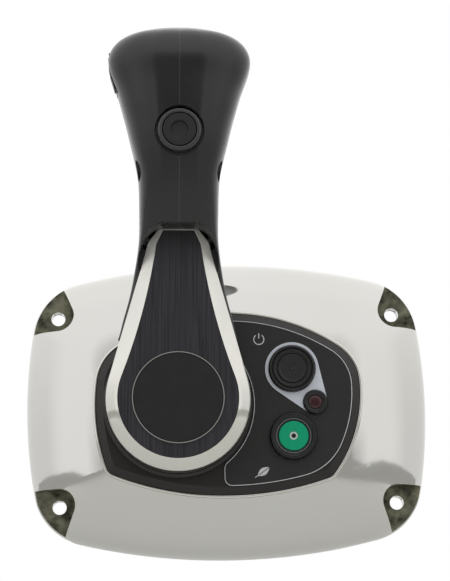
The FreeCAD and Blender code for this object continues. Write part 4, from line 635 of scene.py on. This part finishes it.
def evenly(loop, stepMm):
    # the same closed line in even steps
    lengths = [(loop[(i + 1) % len(loop)] - point).length for i, point in enumerate(loop)]
    count = round(sum(lengths) / (stepMm * millimetre))
    step = sum(lengths) / count
    points, travelled, edge = [], 0.0, 0
    for number in range(count):
        wanted = number * step
        while travelled + lengths[edge] < wanted:
            travelled += lengths[edge]
            edge += 1
        share = (wanted - travelled) / lengths[edge]
        points.append(loop[edge].lerp(loop[(edge + 1) % len(loop)], share))
    return points


def closedLine(name, points):
    mesh = bpy.data.meshes.new(name)
    count = len(points)
    mesh.from_pydata(points, [(i, (i + 1) % count) for i in range(count)], [])
    return mesh


def outlineOf(node, stepMm, side=0):
    # the outline of a node's flat front (side 0) or back (side 1), from a merged copy of its mesh
    shape = bmesh.new()
    shape.from_mesh(nodes[node].data)
    bmesh.ops.remove_doubles(shape, verts=shape.verts, dist=1e-6)
    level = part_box(node)[side][1]
    others = [face for face in shape.faces if any(abs(vert.co.y - level) > 2e-5 for vert in face.verts)]
    bmesh.ops.delete(shape, geom=others, context="FACES")
    loops = outlineLoops(shape)
    shape.free()
    return evenly(max(loops, key=lineLength), stepMm)


def outwardAlong(loop, reach):
    # the outward direction at each point of a closed line, from neighbours that many points away
    area = sum(a.x * b.z - b.x * a.z for a, b in zip(loop, loop[1:] + loop[:1]))
    side = 1 if area > 0 else -1
    for number in range(len(loop)):
        along = loop[(number + reach) % len(loop)] - loop[number - reach]
        yield Vector((along.z, 0, -along.x)).normalized() * side


# the pale tube along the panel's outline is a painted highlight, not print
grown("panel_line", closedLine("panel_line", outlineOf("fascia_panel", 1.0)), lineTree,
      {"Radius": panelEdgeHighlight["radiusMm"] * millimetre, "Material": materials[panelEdgeHighlight["finish"]]},
      "base")
print("panel line drawn")

# The arm's bright rim, a shallow bevel round the inlay. A probe from outside finds the arm's own flank,
# and the rim goes no further out. Under the grip's arch, above freeAbove, the table alone gives its width.
armRim = {"innerFacet": 1.5, "facetSlope": 0.45, "crest": 59.45, "foot": 53.6, "clearance": 0.12,
          "slopes": ((-40, 0.85), (30, 0.85), (60, 0.45), (90, 0.45)), "freeAbove": 74.0,
          "probeFrom": 20.0, "probeDepth": 54.0,
          "widths": ((-40, 9.0), (72, 9.0), (73.5, 4.35), (77, 3.7), (80, 2.9), (82.5, 1.7), (84, 1.1), (90, 1.0))}


def tableValue(table, place):
    for (low, first), (high, last) in zip(table, table[1:]):
        if place <= high:
            return first + (last - first) * max(0, (place - low) / (high - low))
    return table[-1][1]


def makeArmRim():
    loop = outlineOf("arm_inlay", 1.2)
    hub = Vector((layout["hub"][0], 0, layout["hub"][1])) * millimetre
    lean = math.radians(layout["leverLean"])
    upward = Vector((math.sin(lean), 0, math.cos(lean)))
    flank = BVHTree.FromPolygons([vert.co for vert in nodes["lever_arm"].data.vertices],
                                 [face.vertices for face in nodes["lever_arm"].data.polygons])
    shape = bmesh.new()
    places, widths = [], []
    for point, outward in zip(loop, outwardAlong(loop, 2)):
        base = Vector((point.x, 0, point.z))
        start = base + outward * armRim["probeFrom"] * millimetre - Vector((0, armRim["probeDepth"] * millimetre, 0))
        distance = flank.ray_cast(start, -outward)[3]
        height = (base - hub).dot(upward) / millimetre
        width = tableValue(armRim["widths"], height)
        if height < armRim["freeAbove"]:
            width = min(width, armRim["probeFrom"] - distance / millimetre - armRim["clearance"])
        places.append((base, outward, height))
        widths.append(width)
    rows = []
    for number, (base, outward, height) in enumerate(places):
        near = [widths[(number + step) % len(widths)] for step in range(-2, 3)]
        width = min(widths[number], sum(near) / 5)
        facet = min(armRim["innerFacet"], width * 0.5)
        crest, slope = armRim["crest"], tableValue(armRim["slopes"], height)
        fold = crest - facet * armRim["facetSlope"]
        edge = fold - (width - facet) * slope
        section = [(-0.1, armRim["foot"]), (-0.1, crest - 0.3), (0.15, crest), (facet - 0.1, fold + 0.04),
                   (facet + 0.1, fold - 0.1 * slope), (width - 0.4, edge + 0.4 * slope), (width - 0.1, edge - 0.05),
                   (width, edge - 0.35), (width, min(armRim["foot"], edge - 0.5))]
        rows.append([shape.verts.new(base + outward * out * millimetre - Vector((0, depth * millimetre, 0)))
                     for out, depth in section])
    skin(shape, rows + rows[:1])
    addPiece("arm_rim", shape, "chromeRimWithPaintedReflection", "lever")


makeArmRim()
print("arm rim made")

# a polished bead on the cover round the fascia, for the bright line there
fasciaBead = {"radiusMm": 0.95, "outMm": 0.75, "depthMm": 30.0}

fasciaEdge = outlineOf("fascia_bezel", 1.0, side=1)
beadPath = []
for point, outward in zip(fasciaEdge, outwardAlong(fasciaEdge, 1)):
    place = point + outward * fasciaBead["outMm"] * millimetre
    beadPath.append((place.x, -fasciaBead["depthMm"] * millimetre, place.z))
grown("fascia_bead", closedLine("fascia_bead", beadPath), lineTree,
      {"Radius": fasciaBead["radiusMm"] * millimetre, "Material": materials["polishedChrome"]},
      "base")
print("fascia bead made")

# Screws with their recesses, and the socket's contact pins. Sizes are in millimetres along the screw's
# own axis, with its seat at 0. A place is (x, z) on the rear cover and (depth, height) on the lever;
# crossArm is half the width of a cross recess's arm, as a share of its length.
screws = {
    "rear_cover_screws": {"head": 2.9, "headThick": 2.0, "shank": 1.5, "length": 11.0, "recess": "cross",
                          "recessSize": 1.55, "recessDepth": 1.1, "finish": "zincPlate", "body": "base",
                          "seat": 59.0, "places": ((-48.0, -28.0), (-48.0, 28.0), (48.0, -28.0), (48.0, 28.0))},
    "grip_screws": {"head": 4.2, "headThick": 2.4, "shank": 2.5, "length": 34.2, "recess": "hexagon",
                    "recessSize": 2.0, "recessDepth": 1.5, "finish": "blackOxide", "body": "lever",
                    "seat": -15.9, "places": ((53.5, 78.5), (73.0, 108.3))},
}
crossArm = 0.28
pins = {"count": 8, "ringRadius": 4.4, "radius": 0.5, "tip": 0.4, "floor": 60.7, "end": 68.0, "middle": (28.0, 0.0)}


def recessReach(kind, size, turn):
    # how far the recess goes out from the screw's middle in one direction
    if kind == "hexagon":
        third = math.radians(60)
        return size / math.cos((turn % third) - third / 2)
    across, up = abs(math.cos(turn)), abs(math.sin(turn))
    narrow = size * crossArm
    return max(min(size / max(across, 1e-6), narrow / max(up, 1e-6)),
               min(size / max(up, 1e-6), narrow / max(across, 1e-6)))


def screwMesh(name, spec, turn):
    shape = bmesh.new()
    steps = 72
    turns = [math.tau * (step + 0.5) / steps for step in range(steps)]
    head, thick, shank = spec["head"], spec["headThick"], spec["shank"]
    floor = thick - spec["recessDepth"]
    reaches = [recessReach(spec["recess"], spec["recessSize"], angle) for angle in turns]
    levels = [(-spec["length"] + 0.4, [shank * 0.7] * steps), (-spec["length"] + 0.8, [shank] * steps),
              (0, [shank] * steps), (0, [head] * steps), (thick * 0.55, [head] * steps),
              (thick * 0.85, [head * 0.92] * steps), (thick, [head * 0.74] * steps), (thick, reaches),
              (floor, [reach * 0.8 for reach in reaches])]
    rows = [[shape.verts.new((0, 0, -spec["length"] * millimetre))] * steps]
    for level, radii in levels:
        rows.append([shape.verts.new((radius * math.cos(angle) * millimetre, radius * math.sin(angle) * millimetre,
                                      level * millimetre)) for radius, angle in zip(radii, turns)])
    rows.append([shape.verts.new((0, 0, (floor - 0.3) * millimetre))] * steps)
    skin(shape, rows)
    return smoothed(name, shape, 40, turn)


def setOut(name, mesh, places, finishName, body, stands=()):
    # the shape at each place, made by the nodes
    shape = linked(name + "_shape", mesh)
    points = bpy.data.meshes.new(name)
    points.from_pydata(places, [], [])
    grown(name, points, setOutTree, {"Piece": shape, "Material": materials[finishName]}, body, stands)
    bpy.data.objects.remove(shape)


def onLeverPoint(across, depth, up):
    # a point given on the lever's own axes, in millimetres
    lean = math.radians(layout["leverLean"])
    x = layout["hub"][0] + across * math.cos(lean) + up * math.sin(lean)
    z = layout["hub"][1] + up * math.cos(lean) - across * math.sin(lean)
    return Vector((x, -depth, z)) * millimetre


spec = screws["rear_cover_screws"]
rearHeads = [(x * millimetre, spec["seat"] * millimetre, z * millimetre) for x, z in spec["places"]]
setOut("rear_cover_screws_cut", screwMesh("rear_screw", spec, Matrix.Rotation(math.radians(-90), 4, "X")),
       rearHeads, spec["finish"], spec["body"], ["rear_cover_screws"])
spec = screws["grip_screws"]
gripHeads = [onLeverPoint(spec["seat"], depth, up) for depth, up in spec["places"]]
toLeft = Matrix.Rotation(math.radians(layout["leverLean"]), 4, "Y") @ Matrix.Rotation(math.radians(-90), 4, "Y")
setOut("grip_screws_cut", screwMesh("grip_screw", spec, toLeft), gripHeads, spec["finish"], spec["body"],
       ["grip_screws"])
pinLength = pins["end"] - pins["floor"]
pinShape = turnedShape((0, 0), [(0, 0), (pins["radius"], 0), (pins["radius"], -pinLength + pins["tip"]),
                                (pins["radius"] * 0.5, -pinLength), (0, -pinLength)], 16)
bmesh.ops.recalc_face_normals(pinShape, faces=pinShape.faces)
pinMesh = bpy.data.meshes.new("pin")
pinShape.to_mesh(pinMesh)
pinShape.free()
pinTurns = [math.tau * step / pins["count"] for step in range(pins["count"])]
pinPlaces = [((pins["middle"][0] + pins["ringRadius"] * math.cos(turn)) * millimetre, pins["floor"] * millimetre,
              (pins["middle"][1] + pins["ringRadius"] * math.sin(turn)) * millimetre) for turn in pinTurns]
setOut("socket_pins", pinMesh, pinPlaces, "goldFlash", "base")
print("screws and pins set out")

# signs printed on the film: a plain on-off sign by the start button and a plain leaf by the lower one
signs = {
    "finish": "paleInk", "thickMm": 0.06, "strokeMm": 0.5,
    "power": {"middle": (15.5, 31.6), "radius": 2.5, "gap": 70.0, "barLow": 0.5, "barHigh": 3.1},
    "leaf": {"middle": (16.5, -33.8), "length": 7.0, "width": 3.6, "turn": 35.0, "stem": 1.6},
}


def printed(name, outlines):
    # flat outlines of (x, z) in millimetres, raised by the ink's thickness
    front = middleOf("fascia_panel")[2]
    shape = bmesh.new()
    for outline in outlines:
        low = [shape.verts.new((x * millimetre, -front * millimetre, z * millimetre)) for x, z in outline]
        high = [shape.verts.new((x * millimetre, -(front + signs["thickMm"]) * millimetre, z * millimetre))
                for x, z in outline]
        shape.faces.new(low)
        shape.faces.new(high)
        for i in range(len(outline)):
            j = (i + 1) % len(outline)
            shape.faces.new((low[i], low[j], high[j], high[i]))
    addPiece(name, shape, signs["finish"], "base")


def powerSign():
    spec = signs["power"]
    x, z = spec["middle"]
    half = signs["strokeMm"] / 2
    turns = [math.radians(90 + spec["gap"] / 2 + (360 - spec["gap"]) * step / 40) for step in range(41)]
    ring = [(x + (spec["radius"] + half) * math.cos(turn), z + (spec["radius"] + half) * math.sin(turn))
            for turn in turns]
    ring += [(x + (spec["radius"] - half) * math.cos(turn), z + (spec["radius"] - half) * math.sin(turn))
             for turn in reversed(turns)]
    bar = [(x - half, z + spec["barLow"]), (x + half, z + spec["barLow"]), (x + half, z + spec["barHigh"]),
           (x - half, z + spec["barHigh"])]
    printed("power_sign", [ring, bar])


def leafSign():
    # two halves of a pointed oval with a thin gap for the midrib, and a short stem
    spec = signs["leaf"]
    turn = math.radians(spec["turn"])
    gap = signs["strokeMm"] * 0.35
    outlines = []
    for side in (1, -1):
        edge = [(-0.5 + step / 20, side * (gap + (spec["width"] / 2 - gap) * math.sin(math.pi * step / 20)))
                for step in range(21)]
        outlines.append([(share * spec["length"], up) for share, up in edge])
    stem = spec["length"] / 2
    stemEnd, stemRoot = -stem - spec["stem"], -stem + 0.4
    outlines.append([(stemEnd, -gap), (stemRoot, -gap), (stemRoot, gap), (stemEnd, gap)])
    x, z = spec["middle"]
    printed("leaf_sign", [[(x + along * math.cos(turn) - up * math.sin(turn),
                            z + along * math.sin(turn) + up * math.cos(turn)) for along, up in outline]
                          for outline in outlines])


powerSign()
leafSign()
print("signs printed")

# studio: a pale floor below the wall, a large soft box overhead and one to each side
studio = {
    "floorLevel": -0.30,
    "floorSize": 12.0,
    "floorColours": ("#d4d4d1", "#cfcfcc"),
    "lamps": [
        {"name": "overhead", "place": (0.0, -0.7, 1.5), "size": (2.4, 1.6), "strength": 1.0},
        {"name": "leftBox", "place": (-1.6, -0.5, 0.4), "size": (1.4, 1.6), "strength": 0.8},
        {"name": "rightBox", "place": (1.6, -0.5, 0.4), "size": (1.4, 1.6), "strength": 0.8},
        {"name": "rearFill", "place": (0.6, 2.2, 0.9), "size": (1.6, 1.6), "strength": 0.8},
    ],
    "roomLight": 0.7,
    # what polished and glossy surfaces see of the room: pale walls, a paler ceiling, a dark wall ahead with
    # paler corners beside it. Angles are in degrees from straight ahead, levels are parts of a direction.
    "walls": 0.98, "ceiling": 1.3, "ceilingFrom": 0.6, "ahead": 0.32, "aheadNarrow": 10.0, "aheadWide": 34.0,
    "frontCorners": 1.25, "cornersFull": -0.65, "cornersEnd": -0.2, "cornersShare": 0.8,
}


def makeFloor():
    half = studio["floorSize"] / 2
    mesh = bpy.data.meshes.new("floor")
    corners = [(-half, -half), (half, -half), (half, half), (-half, half)]
    mesh.from_pydata([(x, y, studio["floorLevel"]) for x, y in corners], [], [(0, 1, 2, 3)])
    floor = linked("floor", mesh)
    material, tree, shader, place = startMaterial("paleStudioFloor", {"Roughness": 0.9})
    first, second = studio["floorColours"]
    drift = mottle(tree, place, 400.0)
    tree.links.new(blendColours(tree, drift, shade(first), shade(second)), shader.inputs["Base Color"])
    mesh.materials.append(material)


def makeLamps():
    for lamp in studio["lamps"]:
        light = bpy.data.lights.new(lamp["name"], "AREA")
        light.shape = "RECTANGLE"
        light.size, light.size_y = lamp["size"]
        light.energy = 4 * lamp["strength"] * light.size * light.size_y
        holder = linked(lamp["name"], light)
        holder.location = lamp["place"]
        holder.visible_glossy = False
        aim = Vector((0, -0.04, 0.05)) - holder.location
        holder.rotation_euler = aim.to_track_quat("-Z", "Y").to_euler()


def makeRoom():
    # the room lights the object evenly, the camera sees it white, and gloss sees its walls and ceiling
    world = bpy.data.worlds.new("studioRoom")
    world.use_nodes = True
    tree = world.node_tree
    tree.nodes.clear()
    path = addNode(tree, "ShaderNodeLightPath")
    place = addNode(tree, "ShaderNodeTexCoord")
    parts = addNode(tree, "ShaderNodeSeparateXYZ", None, {"Vector": place.outputs["Generated"]})

    def ramp(value, low, high, first, last):
        return addNode(tree, "ShaderNodeMapRange", {"interpolation_type": "SMOOTHSTEP"}, {
            "Value": value, "From Min": low, "From Max": high, "To Min": first, "To Max": last}).outputs[0]

    def pick(factor, first, second):
        return addNode(tree, "ShaderNodeMix", None, {0: factor, 2: first, 3: second}).outputs[0]

    upward = ramp(parts.outputs[2], 0.0, studio["ceilingFrom"], studio["walls"], studio["ceiling"])
    wide, narrow = (-math.cos(math.radians(studio[key])) for key in ("aheadWide", "aheadNarrow"))
    ahead = ramp(parts.outputs[1], narrow, wide, 1.0, 0.0)
    corners = ramp(parts.outputs[1], studio["cornersFull"], studio["cornersEnd"], studio["cornersShare"], 0.0)
    reflected = pick(ahead, pick(corners, upward, studio["frontCorners"]), studio["ahead"])
    clear = addNode(tree, "ShaderNodeMath", {"operation": "MAXIMUM"}, {
        0: path.outputs["Is Camera Ray"], 1: path.outputs["Is Transmission Ray"]})
    strength = pick(path.outputs["Is Glossy Ray"], studio["roomLight"], reflected)
    strength = pick(clear.outputs[0], strength, 1.0)
    light = addNode(tree, "ShaderNodeBackground", None, {"Color": shade("#ffffff"), "Strength": strength})
    addNode(tree, "ShaderNodeOutputWorld", None, {"Surface": light.outputs[0]})
    bpy.context.scene.world = world


# camera at the photograph's place: a long lens a little below the middle of the cover
viewpoint = {"azimuth": -1.9744, "elevation": -10.2217, "roll": -1.0555, "distance": 1.25,
             "target": (-0.00056, -0.030, 0.05721), "focalPixels": 2516.3, "frameHeight": 581}


def makeCamera():
    azimuth, elevation, roll = (math.radians(viewpoint[key]) for key in ("azimuth", "elevation", "roll"))
    back = Vector((math.sin(azimuth) * math.cos(elevation), -math.cos(azimuth) * math.cos(elevation),
                   math.sin(elevation)))
    right = Vector((math.cos(azimuth), math.sin(azimuth), 0))
    up = back.cross(right)
    across = right * math.cos(roll) + up * math.sin(roll)
    upright = up * math.cos(roll) - right * math.sin(roll)
    camera = bpy.data.cameras.new("camera")
    camera.sensor_width = 36.0
    camera.lens = viewpoint["focalPixels"] / viewpoint["frameHeight"] * camera.sensor_width
    holder = linked("camera", camera)
    turn = Matrix((across, upright, back)).transposed().to_4x4()
    holder.matrix_world = Matrix.Translation(Vector(viewpoint["target"]) + back * viewpoint["distance"]) @ turn
    bpy.context.scene.camera = holder


makeFloor()
makeLamps()
makeRoom()
makeCamera()
bpy.context.scene.view_settings.view_transform = "Standard"
print("studio ready")
